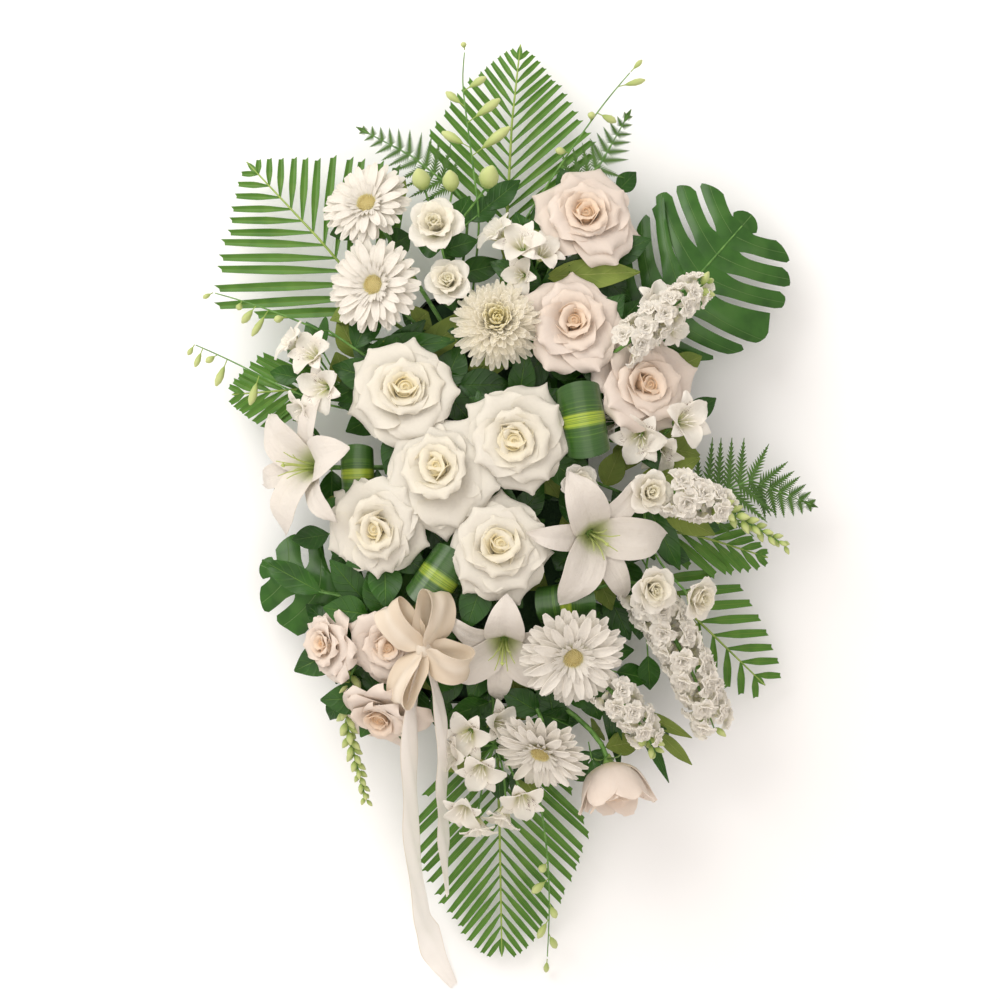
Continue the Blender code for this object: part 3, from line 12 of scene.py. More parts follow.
import bpy
import numpy as np
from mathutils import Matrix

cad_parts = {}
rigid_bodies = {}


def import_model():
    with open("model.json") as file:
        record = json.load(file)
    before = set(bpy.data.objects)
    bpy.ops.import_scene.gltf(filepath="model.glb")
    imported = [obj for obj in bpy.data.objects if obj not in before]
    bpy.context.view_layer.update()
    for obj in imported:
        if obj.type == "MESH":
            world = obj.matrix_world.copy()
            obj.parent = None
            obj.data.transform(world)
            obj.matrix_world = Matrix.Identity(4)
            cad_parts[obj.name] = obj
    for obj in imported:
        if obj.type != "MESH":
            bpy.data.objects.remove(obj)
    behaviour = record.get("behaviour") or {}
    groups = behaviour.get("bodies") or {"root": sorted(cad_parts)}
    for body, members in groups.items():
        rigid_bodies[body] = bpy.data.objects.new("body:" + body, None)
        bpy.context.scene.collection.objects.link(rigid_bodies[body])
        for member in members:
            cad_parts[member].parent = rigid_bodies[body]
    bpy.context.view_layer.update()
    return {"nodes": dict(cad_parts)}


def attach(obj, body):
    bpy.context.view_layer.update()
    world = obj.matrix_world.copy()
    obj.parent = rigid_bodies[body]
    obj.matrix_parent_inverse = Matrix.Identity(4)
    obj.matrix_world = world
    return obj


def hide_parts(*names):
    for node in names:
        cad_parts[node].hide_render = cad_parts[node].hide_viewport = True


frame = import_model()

MM = 0.001

# %% [markdown]
# ## The florist's plan
# The spray lies on its back and we look straight down on it, so a plan in plain units is the natural map: one
# unit is 1.1 mm, (500, 500) is the middle and the second number runs towards the ribbon's end. The eye is
# 3 m up, and a lens that sees 1000 units across makes plan and picture agree, so a bloom can be placed by
# two numbers and a height.

# %% Plan, camera and the dome of heads
PLAN_UNIT = 1.1 * MM
PLAN_EYE = 3.0
PLAN_LEVEL = 0.12
DOME_EDGE, DOME_RISE = 0.110, 0.085
DOME_HALF, DOME_CENTRE, DOME_LEAN = (0.270, 0.400), (497.0, 485.0), 0.55

camera = bpy.data.objects.new("overhead_camera", bpy.data.cameras.new("overhead_camera"))
bpy.context.scene.collection.objects.link(camera)
camera.location = (0, 0, PLAN_EYE)
camera.data.sensor_width = 36.0
camera.data.lens = 36.0 * (PLAN_EYE - PLAN_LEVEL) / (1000 * PLAN_UNIT)
bpy.context.scene.camera = camera


def unit(vector):
    vector = np.asarray(vector, float)
    return vector / max(np.linalg.norm(vector), 1e-12)


def spot(u, v, z):
    """The point at height z that lies at (u, v) of the plan."""
    scale = PLAN_UNIT * (PLAN_EYE - z) / (PLAN_EYE - PLAN_LEVEL)
    return np.array([(u - 500) * scale, (500 - v) * scale, z])


def dome_at(u, v):
    """Height of the dome of heads there, and the way in which a head leans."""
    x = (u - DOME_CENTRE[0]) * PLAN_UNIT / DOME_HALF[0]
    y = (DOME_CENTRE[1] - v) * PLAN_UNIT / DOME_HALF[1]
    height = DOME_EDGE + DOME_RISE * max(0.0, 1.0 - x * x - y * y)
    return height, unit((DOME_LEAN * x, DOME_LEAN * y, 1.0))


def leaning(azimuth, lean):
    a, t = math.radians(azimuth), math.radians(lean)
    return np.array([math.cos(a) * math.sin(t), math.sin(a) * math.sin(t), math.cos(t)])


def turn(axis, spin=0.0):
    """The rotation that takes +Z to axis by the shortest way, after a spin in degrees about +Z."""
    x, y, z = unit(axis)
    cross = np.array([[0.0, 0.0, x], [0.0, 0.0, y], [-x, -y, 0.0]])
    swing = np.eye(3) + cross + cross @ cross / (1.0 + max(z, -0.999))
    c, s = math.cos(math.radians(spin)), math.sin(math.radians(spin))
    return swing @ np.array([[c, -s, 0.0], [s, c, 0.0], [0.0, 0.0, 1.0]])


print("lens:", round(camera.data.lens, 1), "mm")

# %% [markdown]
# ## Light and floor
# White petals only read as white when the light has a direction: one broad soft light from the head end
# models them, and two weaker ones and a pale world fill their shadows. The floor is a plain pale sheet that
# reaches well past the picture.

# %% Floor, lamp and sky
from mathutils import Vector

FAMILIES = {"GEOMETRY": ("GeometryNode", "FunctionNode", "ShaderNode"), "SHADER": ("ShaderNode",)}


def linear(hex_colour):
    """An sRGB hex colour as the linear RGBA that Blender's shaders take."""
    found = []
    for start in (1, 3, 5):
        c = int(hex_colour[start : start + 2], 16) / 255
        found.append(c / 12.92 if c <= 0.04045 else ((c + 0.055) / 1.055) ** 2.4)
    return (*found, 1.0)


def add(tree, kind, inputs=None, **settings):
    """Adds a node with its settings. An input is a node or socket, which is linked, a hex colour or a value."""
    made = tree.nodes.new(next(name + kind for name in FAMILIES[tree.type] if hasattr(bpy.types, name + kind)))
    for name, value in settings.items():
        setattr(made, name, value)
    for key, value in (inputs or {}).items():
        if isinstance(value, bpy.types.Node):
            value = next(socket for socket in value.outputs if socket.enabled)
        if isinstance(value, bpy.types.NodeSocket):
            tree.links.new(value, made.inputs[key])
        elif isinstance(value, str) and value.startswith("#"):
            made.inputs[key].default_value = linear(value)
        else:
            made.inputs[key].default_value = value
    return made


def surface(name):
    """A new material and its emptied tree."""
    made = bpy.data.materials.new(name)
    made.use_nodes = True
    made.node_tree.nodes.clear()
    return made, made.node_tree


def close(tree, skin, thin=None, glow=None):
    """Ends a material: a skin with these settings and, if it is thin, a share of the light that passes through."""
    last = add(tree, "BsdfPrincipled", skin)
    if thin is not None:
        through = add(tree, "BsdfTranslucent", {"Color": skin["Base Color"], **(glow or {})})
        last = add(tree, "MixShader", {0: thin, 1: last, 2: through})
    add(tree, "OutputMaterial", {"Surface": last})


for name, place, target, size, watts, colour in (
    ("head_softbox", (-1.4, 1.7, 2.0), (0, 0.05, 0.1), 2.0, 54, "#FFFDF8"),
    ("overhead_softbox", (0.3, -0.3, 3.5), (0, 0, 0.1), 3.0, 30, "#FFF9F2"),
    ("foot_softbox", (-0.6, -1.9, 2.2), (0, 0, 0.1), 2.0, 9, "#FFF1E6"),
):
    lamp = bpy.data.objects.new(name, bpy.data.lights.new(name, "AREA"))
    bpy.context.scene.collection.objects.link(lamp)
    lamp.location = place
    lamp.rotation_euler = Vector(np.subtract(target, place)).to_track_quat("-Z", "Y").to_euler()
    lamp.data.size, lamp.data.energy, lamp.data.color = size, watts, linear(colour)[:3]
world = bpy.data.worlds.new("pale_studio")
world.use_nodes = True
world.node_tree.nodes["Background"].inputs["Color"].default_value = linear("#FFF6F1")
world.node_tree.nodes["Background"].inputs["Strength"].default_value = 0.68
bpy.context.scene.world = world
bpy.context.scene.view_settings.view_transform = "Standard"

floor_finish, tree = surface("pale_paper_sweep")
close(tree, {"Base Color": "#FBFDFE", "Roughness": 0.9})
floor_mesh = bpy.data.meshes.new("floor")
floor_mesh.from_pydata([(-6, -6, 0), (6, -6, 0), (6, 6, 0), (-6, 6, 0)], [], [(0, 1, 2, 3)])
floor_mesh.materials.append(floor_finish)
floor = bpy.data.objects.new("floor", floor_mesh)
bpy.context.scene.collection.objects.link(floor)

# %% [markdown]
# ## How a petal carries its own map
# Petals and leaves are coloured along themselves: green where they are joined, clear at the edge, veined
# from root to tip. Instead of unwrapping hundreds of them, each point keeps four numbers from the moment it
# is made: grow (0 root, 1 tip), side (-1 to 1 across), core (0 outside a bloom, 1 at its heart) and tone (one
# chance number a petal). Every material below reads those four.

# %% A gatherer for petals, leaves and stalks
MARKS = ("grow", "side", "core", "tone")
PETAL_THICK = 0.5 * MM


def quads(rows, cols):
    """The faces of a sheet of rows by cols points."""
    r, c = np.meshgrid(np.arange(rows - 1), np.arange(cols - 1), indexing="ij")
    a = (r * cols + c).ravel()
    return np.column_stack([a, a + cols, a + cols + 1, a + 1])


def edges_of(faces):
    """All directed edges of faces of four points, or of three where the fourth is -1."""
    three = faces[:, 3] < 0
    last = np.where(three, faces[:, 2], faces[:, 3])
    pairs = [faces[:, [0, 1]], faces[:, [1, 2]], faces[~three][:, [2, 3]], np.column_stack([last, faces[:, 0]])]
    return np.concatenate(pairs)


def blade(points, faces, thick):
    """A sheet given a real thickness: its two faces and the rim that closes them."""
    n = len(points)
    third = np.where(faces[:, 3] < 0, faces[:, 0], faces[:, 3])
    across = np.cross(points[faces[:, 2]] - points[faces[:, 0]], points[third] - points[faces[:, 1]])
    total = np.zeros_like(points)
    for corner in range(3):
        np.add.at(total, faces[:, corner], across)
    whole = faces[:, 3] >= 0
    np.add.at(total, faces[whole, 3], across[whole])
    total /= np.maximum(np.linalg.norm(total, axis=1, keepdims=True), 1e-12)
    half = np.broadcast_to(np.asarray(thick, float), n)[:, None] / 2
    edges = edges_of(faces)
    known = set((edges[:, 0] * n + edges[:, 1]).tolist())
    rim = np.array([e for e in edges.tolist() if e[1] * n + e[0] not in known])
    a, b = rim[:, 0], rim[:, 1]
    under = np.where(faces[:, 3:] < 0, np.column_stack([faces[:, 2::-1], faces[:, 3:]]), faces[:, ::-1])
    under = np.where(under < 0, -1, under + n)
    sides = np.column_stack([b, a, a + n, b + n])
    return np.vstack([points + total * half, points - total * half]), faces, under, sides


class Plant:
    """Gathers the pieces of one plant into one mesh, with the four marks of each point."""

    def __init__(self, finishes):
        self.finishes = finishes
        self.points, self.faces, self.slots, self.marks, self.total = [], [], [], [], 0

    def take(self, points, faces, slot=0, grow=0.5, side=0.0, core=0.0, tone=0.5):
        n = len(points)
        marks = [np.broadcast_to(np.asarray(value, float), n) for value in (grow, side, core, tone)]
        self.points.append(points)
        self.marks.append(np.column_stack(marks))
        self.faces.append(np.where(faces < 0, -1, faces + self.total))
        self.slots.append(np.full(len(faces), slot))
        self.total += n

    def sheet(self, grid, thick=PETAL_THICK, slot=0, under=None, core=0.0, tone=0.5):
        """A petal or leaf from a grid of points, rows from root to tip. under is the lower face's finish."""
        rows, cols = grid.shape[:2]
        points, top, bottom, rim = blade(grid.reshape(-1, 3), quads(rows, cols), thick)
        grow = np.tile(np.repeat(np.linspace(0, 1, rows), cols), 2)
        side = np.tile(np.tile(np.linspace(-1, 1, cols), rows), 2)
        first = self.total
        self.take(points, np.vstack([top, rim]), slot, grow, side, core, tone)
        self.faces.append(bottom + first)
        self.slots.append(np.full(len(bottom), slot if under is None else under))

    def graft(self, other, rotation=np.eye(3), place=(0, 0, 0), slot=0, core=None, tone=None):
        """Adds arrays that a node tree or a function has made, turned and moved into place."""
        points, faces, marks = other
        marks = marks.copy()
        if core is not None:
            marks[:, 2] = core
        if tone is not None:
            marks[:, 3] = tone
        self.take(points @ rotation.T + np.asarray(place), faces, slot, *marks.T)

    def join(self, other, rotation, place, slots=range(9)):
        """Puts a smaller plant in. slots gives the finish here for each of its finishes."""
        points, faces, marks = other.arrays()
        self.take(points @ rotation.T + place, faces, 0, *marks.T)
        self.slots[-1] = np.array(slots)[np.concatenate(other.slots)]

    def arrays(self):
        return np.vstack(self.points), np.vstack(self.faces), np.vstack(self.marks)

    def mesh(self, name):
        points, faces, marks = self.arrays()
        made = bpy.data.meshes.new(name)
        made.vertices.add(len(points))
        made.vertices.foreach_set("co", points.astype(np.float32).ravel())
        sizes = np.where(faces[:, 3] < 0, 3, 4)
        made.loops.add(int(sizes.sum()))
        made.loops.foreach_set("vertex_index", faces[faces >= 0].astype(np.int32))
        made.polygons.add(len(faces))
        starts = np.concatenate([[0], np.cumsum(sizes)[:-1]])
        made.polygons.foreach_set("loop_start", starts.astype(np.int32))
        made.polygons.foreach_set("material_index", np.concatenate(self.slots).astype(np.int32))
        made.update(calc_edges=True)
        for column, mark in enumerate(MARKS):
            layer = made.attributes.new(mark, "FLOAT", "POINT")
            layer.data.foreach_set("value", marks[:, column].astype(np.float32))
        for finish in self.finishes:
            made.materials.append(finish)
        made.shade_smooth()
        made.set_sharp_from_angle(angle=math.radians(62))
        return made


dressed = []


def dress(name, plant, node):
    """The finished piece: it stands for its solid, which is hidden, and joins the list of dressed pieces."""
    name = f"{name}_grown" if name == node else name
    made = bpy.data.objects.new(name, plant.mesh(name))
    bpy.context.scene.collection.objects.link(made)
    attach(made, "root")
    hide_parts(node)
    dressed.append(name)
    return made


print("each point carries", MARKS)

# %% [markdown]
# ## Reading the solids
# A florist pushes each stem where it finds room, so no rule gives its height: only the solid knows. We try
# the heights that a stem could have been pushed to, and keep the one whose landmark (the tip of a core, the
# rim of a bud) lies on a point of the solid. The stem's foot and direction are read from the solid too.

# %% Where each plant stands
SHIFTS = [0.0] + [sign * step * 3 * MM for step in range(1, 16) for sign in (1, -1)]
FOAM_HALF = (88 * MM, 218 * MM)
FOAM_TOP = 88 * MM


def solid_points(name):
    """The points of one solid, in metres."""
    mesh = frame["nodes"][name].data
    found = np.empty(len(mesh.vertices) * 3, np.float32)
    mesh.vertices.foreach_get("co", found)
    return found.reshape(-1, 3).astype(float)


def ring_of(radius, height, sides, spin=0.0):
    a = 2 * math.pi * (np.arange(sides) + 0.5) / sides + math.radians(spin)
    return np.column_stack([radius * np.cos(a), radius * np.sin(a), np.full(sides, height)])


def misses(points, known):
    """How far the points lie from the nearest of the known ones, on average."""
    return np.linalg.norm(points[:, None] - known[None], axis=2).min(axis=1).mean()


def head_stand(name, place, axis, spin, middle, probe):
    """The base and rotation of a bloom whose landmark is probe, in its own coordinates."""
    level, lean = dome_at(*place)
    axis = lean if axis is None else axis
    rotation, known = turn(axis, spin), solid_points(name)
    bases = [spot(*place, level + shift) - axis * middle for shift in SHIFTS]
    found = [misses(base + probe @ rotation.T, known) for base in bases]
    best = int(np.argmin(found))
    misfits[name] = found[best]
    return bases[best], rotation


def lift_of(name, probe):
    """How much higher than planned a whole frond or spray stands."""
    known = solid_points(name)
    found = [misses(np.atleast_2d(probe) + (0, 0, shift), known) for shift in SHIFTS]
    best = int(np.argmin(found))
    misfits[name] = found[best]
    return np.array([0, 0, SHIFTS[best]])


def stem_line(name, base, axis, rows=9):
    """The way of a stem: straight up out of the foam, then bending into the axis of what it carries."""
    known = solid_points(name)
    inside = (np.abs(known[:, :2]) < np.array(FOAM_HALF) - MM).all(axis=1) & (known[:, 2] < FOAM_TOP - MM)
    low = known[inside].mean(axis=0)
    away = np.linalg.norm(known - low, axis=1)
    near = np.abs(away - 37.1 * MM) < 0.8 * MM
    rise = known[near].mean(axis=0) if near.any() else low + unit(base - low) * 37 * MM
    gap = np.linalg.norm(base - rise)
    t = np.linspace(0, 1, rows)[:, None]
    lean, under = rise + unit(rise - low) * gap * 0.3, base - unit(axis) * gap * 0.3
    bend = (1 - t) ** 3 * rise + 3 * (1 - t) ** 2 * t * lean + 3 * (1 - t) * t * t * under + t**3 * base
    return np.vstack([low[None], bend])


misfits = {}
print("heights tried:", len(SHIFTS), "from", round(min(SHIFTS), 3), "to", round(max(SHIFTS), 3))

# %% [markdown]
# ## Petal finish
# A petal is thin wet skin: it scatters light, shows fine veins that run from root to tip, and is never one
# colour. The finish blends a throat colour near the root, a heart colour in the middle of the bloom and a
# clear colour at the edge, adds veins as a stretched noise along the petal, and lets some light pass.

# %% Petals


def marks_of(tree):
    """The four numbers that each point carries: grow, side, core and tone."""
    return [add(tree, "Attribute", attribute_name=name).outputs["Fac"] for name in MARKS]


def streaks(tree, marks, across, along, detail=3.0):
    """Noise drawn out along a petal or leaf: lines from root to tip, some to the half width."""
    grown, side, _, tone = marks
    point = add(tree, "CombineXYZ", {0: side, 1: grown, 2: tone})
    place = add(tree, "VectorMath", {0: point, 1: (across, along, 37.0)}, operation="MULTIPLY")
    return add(tree, "TexNoise", {"Vector": place, "Scale": 1.0, "Detail": detail})


def mottle(tree, size, detail=2.0):
    """Noise in space, with patches of about the given size."""
    place = add(tree, "TexCoord").outputs["Object"]
    return add(tree, "TexNoise", {"Vector": place, "Scale": 1 / size, "Detail": detail})


def layered(tree, colour, *layers):
    """A colour with others laid over it. A layer is a colour, what it follows, from and to which value of that it
    comes in, and between which two shares. With no numbers it follows its socket as it is."""
    for shade, follows, *span in layers:
        if span:
            follows = add(tree, "MapRange", dict(enumerate([follows, *span])), interpolation_type="SMOOTHSTEP")
        colour = add(tree, "Mix", {0: follows, 6: colour, 7: shade}, data_type="RGBA")
    return colour


def petal_finish(name, clear, throat, heart, reach=0.34, rough=0.55, thin=0.22, vein=0.35, shade="#D8CFBE"):
    made, tree = surface(name)
    grown, _, core, tone = marks = marks_of(tree)
    lines = streaks(tree, marks, 9.0, 1.2)
    warmth = add(tree, "Math", {0: core, 1: 0.9}, operation="MULTIPLY")
    colour = layered(
        tree, throat, (clear, grown, 0.04, reach), (heart, warmth), (shade, lines, 0.50, 0.78, 0.0, 0.16),
        (shade, mottle(tree, 14 * MM), 0.45, 0.75, 0.0, 0.10), (shade, tone, 0.0, 1.0, 0.0, 0.09),
    )
    creases = add(tree, "Math", {0: mottle(tree, 7 * MM, 3.0), 1: 2.2, 2: lines}, operation="MULTIPLY_ADD")
    bump = add(tree, "Bump", {"Strength": vein, "Distance": 0.9 * MM, "Height": creases})
    skin = {"Base Color": colour, "Roughness": rough, "IOR": 1.4, "Normal": bump, "Specular IOR Level": 0.32}
    close(tree, {**skin, "Sheen Weight": 0.12, "Sheen Roughness": 0.5}, thin, {"Normal": bump})
    return made


# Pure white with the palest cream throat: the five open roses in the middle of the spray
white_rose = petal_finish("white_rose_petal", "#F6F3EA", "#F5EED2", "#FFF6D2", 0.30, thin=0.40, shade="#F1ECE2")
# Creamy white with a peach heart, for the roses round them
blush_rose = petal_finish("blush_rose_petal", "#F7EEE5", "#F6E9CE", "#FBE3C2", 0.32, thin=0.38, shade="#EEDFD0")
# Matt white, faintly ribbed lengthwise, which is what tells a gerbera from a daisy
gerbera_white = petal_finish("gerbera_petal", "#FBF8F1", "#ECEBCB", "#F6F2DF", 0.25, 0.6, 0.34, 0.8, "#E8E0D2")
# Ivory that turns pale yellow at the heart
mum_ivory = petal_finish("chrysanthemum_petal", "#FFFDF6", "#FDFAEA", "#FDF8D6", 0.5, 0.6, 0.72, shade="#F9F3E4")
# Waxy white with a pale lime throat that runs out along each tepal
lily_white = petal_finish("lily_tepal", "#F1ECE5", "#C3CD86", "#C4CC86", 0.30, 0.45, 0.32, 0.6, "#E2DACB")
# Thin papery white for the small florets
small_white = petal_finish("small_floret_petal", "#FFFDF8", "#F3F2D8", "#FBF8E6", 0.4, 0.6, 0.55, shade="#F5EFE4")
print("petal finishes:", [item.name for item in bpy.data.materials if "petal" in item.name])

# %% [markdown]
# ## Leaf finish
# Leaves carry a waxy coat over a matt, veined body. The coat gives the long highlights that read as a fresh
# leaf; the veins run out from the midrib, so their pattern is drawn with the side and grow marks together.

# %% Leaves, stalks and buds


def leaf_finish(name, body, vein, rough=0.36, coat=0.12, slant=9.0, count=34.0, rib=0.10, shade="#1B3B20"):
    made, tree = surface(name)
    grown, side, _, tone = marks_of(tree)
    width = add(tree, "Math", {0: side}, operation="ABSOLUTE")
    straight = add(tree, "Math", {0: grown, 1: count}, operation="MULTIPLY")
    phase = add(tree, "Math", {0: width, 1: -slant, 2: straight}, operation="MULTIPLY_ADD")
    waves = add(tree, "Math", {0: phase}, operation="SINE")
    colour = layered(
        tree, body, (shade, mottle(tree, 22 * MM), 0.35, 0.75, 0.0, 0.55), (vein, waves, 0.86, 1.0, 0.0, 0.12),
        (vein, width, 0.0, rib, 0.6, 0.0), (shade, tone, 0.0, 1.0, 0.0, 0.45),
    )
    raised = add(tree, "MapRange", {0: waves, 1: 0.5}, interpolation_type="SMOOTHSTEP")
    groove = add(tree, "MapRange", {0: width, 2: rib, 3: 2.0, 4: 0.0}, interpolation_type="SMOOTHSTEP")
    height = add(tree, "Math", {0: raised, 1: groove}, operation="SUBTRACT")
    bump = add(tree, "Bump", {"Strength": 0.5, "Distance": 0.6 * MM, "Height": height})
    skin = {"Base Color": colour, "Roughness": rough, "IOR": 1.45, "Normal": bump, "Specular IOR Level": 0.32}
    close(tree, {**skin, "Coat Weight": coat, "Coat Roughness": 0.2}, 0.12)
    return made


# Glossy dark camellia and ruscus leaves, and their olive undersides
broad_green = leaf_finish("glossy_broad_leaf", "#34631C", "#6F9742", rib=0.06, shade="#183A12")
olive_under = leaf_finish("olive_leaf_underside", "#859645", "#B4BE70", 0.6, 0.0, rib=0.06, shade="#5B712D")
# Palm leaflets: mid green, ribbed along their length, hardly any cross veins
palm_green = leaf_finish("palm_leaflet", "#608F36", "#95AE52", 0.42, 0.1, 0.0, 4.0, 0.10, "#3F6B24")
fern_green = leaf_finish("leatherleaf_fern", "#557B33", "#7C9E56", 0.5, 0.08, 2.0, 20.0, 0.10, "#33561F")
monstera_green = leaf_finish("monstera_leaf", "#41702A", "#7BA05A", 0.32, 0.14, 0.0, 3.0, 0.05, "#224819")


def stalk_finish(name, body, shade):
    made, tree = surface(name)
    colour = layered(tree, body, (shade, mottle(tree, 9 * MM), 0.3, 0.7))
    bump = add(tree, "Bump", {"Strength": 0.3, "Distance": 0.3 * MM, "Height": mottle(tree, 1.2 * MM, 4.0)})
    close(tree, {"Base Color": colour, "Roughness": 0.5, "IOR": 1.45, "Normal": bump})
    return made


# Round green stalks, a little uneven in colour as any grown thing
stalk_green = stalk_finish("green_stalk", "#6E9A4A", "#49762F")
rachis_green = stalk_finish("palm_rachis", "#9DB259", "#7C9A45")
# Waxy yellow-green orchid and snapdragon buds, paler at the tip
bud_green = petal_finish("green_bud_skin", "#D2DB98", "#9DB75A", "#E4E7B4", 0.8, 0.4, 0.2, 0.3, "#8DA653")
calyx_green = petal_finish("calyx_skin", "#7FA052", "#5F8A3C", "#8FAE60", 0.6, 0.5, 0.1, 0.4, "#4E7A32")
print("finishes so far:", len(bpy.data.materials))

# %% [markdown]
# ## Node trees that repeat
# Whatever repeats by a rule is grown by a small node tree: it takes one petal, places copies in a ring or
# along a rib with a fixed seed, and hands back one plain mesh. The inputs have names, so the same tree makes
# a gerbera's ring, a chrysanthemum's ball or a floret's cup.

# %% Running a tree and reading what it made


def new_tree(name, inputs):
    """An empty tree with named inputs: each is a float, an integer, or the word Object or Material."""
    tree = bpy.data.node_groups.new(name, "GeometryNodeTree")
    tree.interface.new_socket("Geometry", in_out="OUTPUT", socket_type="NodeSocketGeometry")
    for label, value in inputs.items():
        kind = value if isinstance(value, str) else "Int" if isinstance(value, int) else "Float"
        made = tree.interface.new_socket(label, in_out="INPUT", socket_type="NodeSocket" + kind)
        if not isinstance(value, str):
            made.default_value = value
    return tree, tree.nodes.new("NodeGroupInput").outputs


def read_mesh(mesh):
    """A mesh as arrays: points, faces of four (-1 ends a triangle) and the four marks."""
    points = np.empty(len(mesh.vertices) * 3, np.float32)
    mesh.vertices.foreach_get("co", points)
    count = len(mesh.polygons)
    starts, sizes = np.empty(count, np.int32), np.empty(count, np.int32)
    mesh.polygons.foreach_get("loop_start", starts)
    mesh.polygons.foreach_get("loop_total", sizes)
    corners = np.empty(len(mesh.loops), np.int32)
    mesh.loops.foreach_get("vertex_index", corners)
    faces = corners[np.minimum(starts[:, None] + np.arange(4), len(corners) - 1)].astype(int)
    faces[sizes == 3, 3] = -1
    marks = np.zeros((len(mesh.vertices), 4))
    for column, name in enumerate(MARKS):
        layer = mesh.attributes.get(name)
        if layer is not None and layer.domain == "POINT":
            found = np.empty(len(mesh.vertices), np.float32)
            layer.data.foreach_get("value", found)
            marks[:, column] = found
    return points.reshape(-1, 3).astype(float), faces, marks


def grow(tree_name, settings):
    """Runs a tree with the given inputs and returns what it made, as arrays."""
    host = bpy.data.objects.new("host", bpy.data.meshes.new("host"))
    bpy.context.scene.collection.objects.link(host)
    modifier = host.modifiers.new("grown", "NODES")
    modifier.node_group = bpy.data.node_groups[tree_name]
    for item in modifier.node_group.interface.items_tree:
        if item.in_out == "INPUT" and item.name in settings:
            modifier[item.identifier] = settings[item.name]
    host.update_tag()
    graph = bpy.context.evaluated_depsgraph_get()
    made = bpy.data.meshes.new_from_object(host.evaluated_get(graph))
    found, data = read_mesh(made), host.data
    bpy.data.objects.remove(host)
    for mesh in (made, data):
        bpy.data.meshes.remove(mesh)
    return found


def grow_along(tree_name, path, settings, girth=0.0):
    """Runs a tree that walks a line. girth is the radius at each of its points."""
    mesh = bpy.data.meshes.new("line")
    mesh.from_pydata(np.asarray(path).tolist(), [(k, k + 1) for k in range(len(path) - 1)], [])
    layer = mesh.attributes.new("girth", "FLOAT", "POINT")
    layer.data.foreach_set("value", np.broadcast_to(np.asarray(girth, np.float32), len(path)).copy())
    line = bpy.data.objects.new("line", mesh)
    found = grow(tree_name, {"Line": line, **settings})
    bpy.data.objects.remove(line)
    bpy.data.meshes.remove(mesh)
    return found


def kept(name, finish, shape, thick=PETAL_THICK):
    """One petal (a grid) or small body (arrays), kept aside as an object for a tree to repeat."""
    plant = Plant([finish])
    if isinstance(shape, tuple):
        plant.graft(shape)
    else:
        plant.sheet(shape, thick)
    return bpy.data.objects.new(name, plant.mesh(name))


# %% [markdown]
# ### Petals in a ring
# The first tree sets a given number of copies of one petal round the axis. Each is tipped outwards and turned
# a little by chance, so no ring looks stamped.

# %% The ring: copies of one petal round an axis
tree, knobs = new_tree(
    "petal_ring",
    {
        "Item": "Object", "Count": 8, "Radius": 0.01, "Lift": 0.0, "Tilt": 0.0, "Tilt Jitter": 0.0,
        "Turn": 0.0, "Turn Jitter": 0.0, "Size": 1.0, "Size Jitter": 0.0, "Seed": 0, "Finish": "Material",
    },
)


def chance(tree, knobs, middle, spread, more):
    """A random number for each copy: middle, give or take spread."""
    low = add(tree, "Math", {0: middle, 1: spread}, operation="SUBTRACT")
    high = add(tree, "Math", {0: middle, 1: spread}, operation="ADD")
    seed = add(tree, "Math", {0: knobs["Seed"], 1: more}, operation="ADD")
    return add(tree, "RandomValue", {2: low, 3: high, "Seed": seed})


def copies(tree, knobs, points, rotation, scale):
    """Ends a tree: puts the item on the points, gives each copy its tone, realises them and sets the finish."""
    item = add(tree, "ObjectInfo", {0: knobs["Item"], 1: True}).outputs["Geometry"]
    settings = {"Points": points, "Instance": item, "Rotation": rotation, "Scale": scale}
    made = add(tree, "InstanceOnPoints", settings)
    tone = add(tree, "RandomValue", {2: 0.0, 3: 1.0})
    toned = add(tree, "StoreNamedAttribute", {"Geometry": made, "Name": "tone", "Value": tone}, domain="INSTANCE")
    whole = add(tree, "RealizeInstances", {0: toned})
    last = add(tree, "SetMaterial", {"Geometry": whole, "Material": knobs["Finish"]})
    tree.links.new(last.outputs[0], tree.nodes.new("NodeGroupOutput").inputs[0])


step = add(tree, "Math", {0: 2 * math.pi, 1: knobs["Count"]}, operation="DIVIDE")
angle = add(tree, "Math", {0: add(tree, "InputIndex"), 1: step, 2: knobs["Turn"]}, operation="MULTIPLY_ADD")
angle = chance(tree, knobs, angle, knobs["Turn Jitter"], 1)
tilt = chance(tree, knobs, knobs["Tilt"], knobs["Tilt Jitter"], 2)
size = chance(tree, knobs, knobs["Size"], knobs["Size Jitter"], 3)
root = add(tree, "CombineXYZ", {0: knobs["Radius"], 2: knobs["Lift"]})
place = add(tree, "VectorRotate", {"Vector": root, "Angle": angle}, rotation_type="Z_AXIS")
spots = add(tree, "Points", {"Count": knobs["Count"], "Position": place})
outward = add(tree, "Math", {0: tilt, 1: -1.0}, operation="MULTIPLY")
facing = add(tree, "EulerToRotation", {0: add(tree, "CombineXYZ", {1: outward, 2: angle})})
copies(tree, knobs, spots, facing, size)


def ring(petal, count, radius, lift, tilt, finish, seed, size=1.0, jitter=(5.0, 4.0, 0.06), start=0.0):
    """One ring: lengths in mm, angles in degrees. jitter is for tilt, turn and size."""
    degrees = {"Tilt": tilt, "Tilt Jitter": jitter[0], "Turn": start, "Turn Jitter": jitter[1]}
    settings = {"Item": petal, "Count": count, "Radius": radius * MM, "Lift": lift * MM, "Seed": seed}
    settings.update({name: math.radians(value) for name, value in degrees.items()})
    return grow("petal_ring", {**settings, "Finish": finish, "Size": size, "Size Jitter": jitter[2] * size})


print("ring tree:", len(tree.nodes), "nodes")

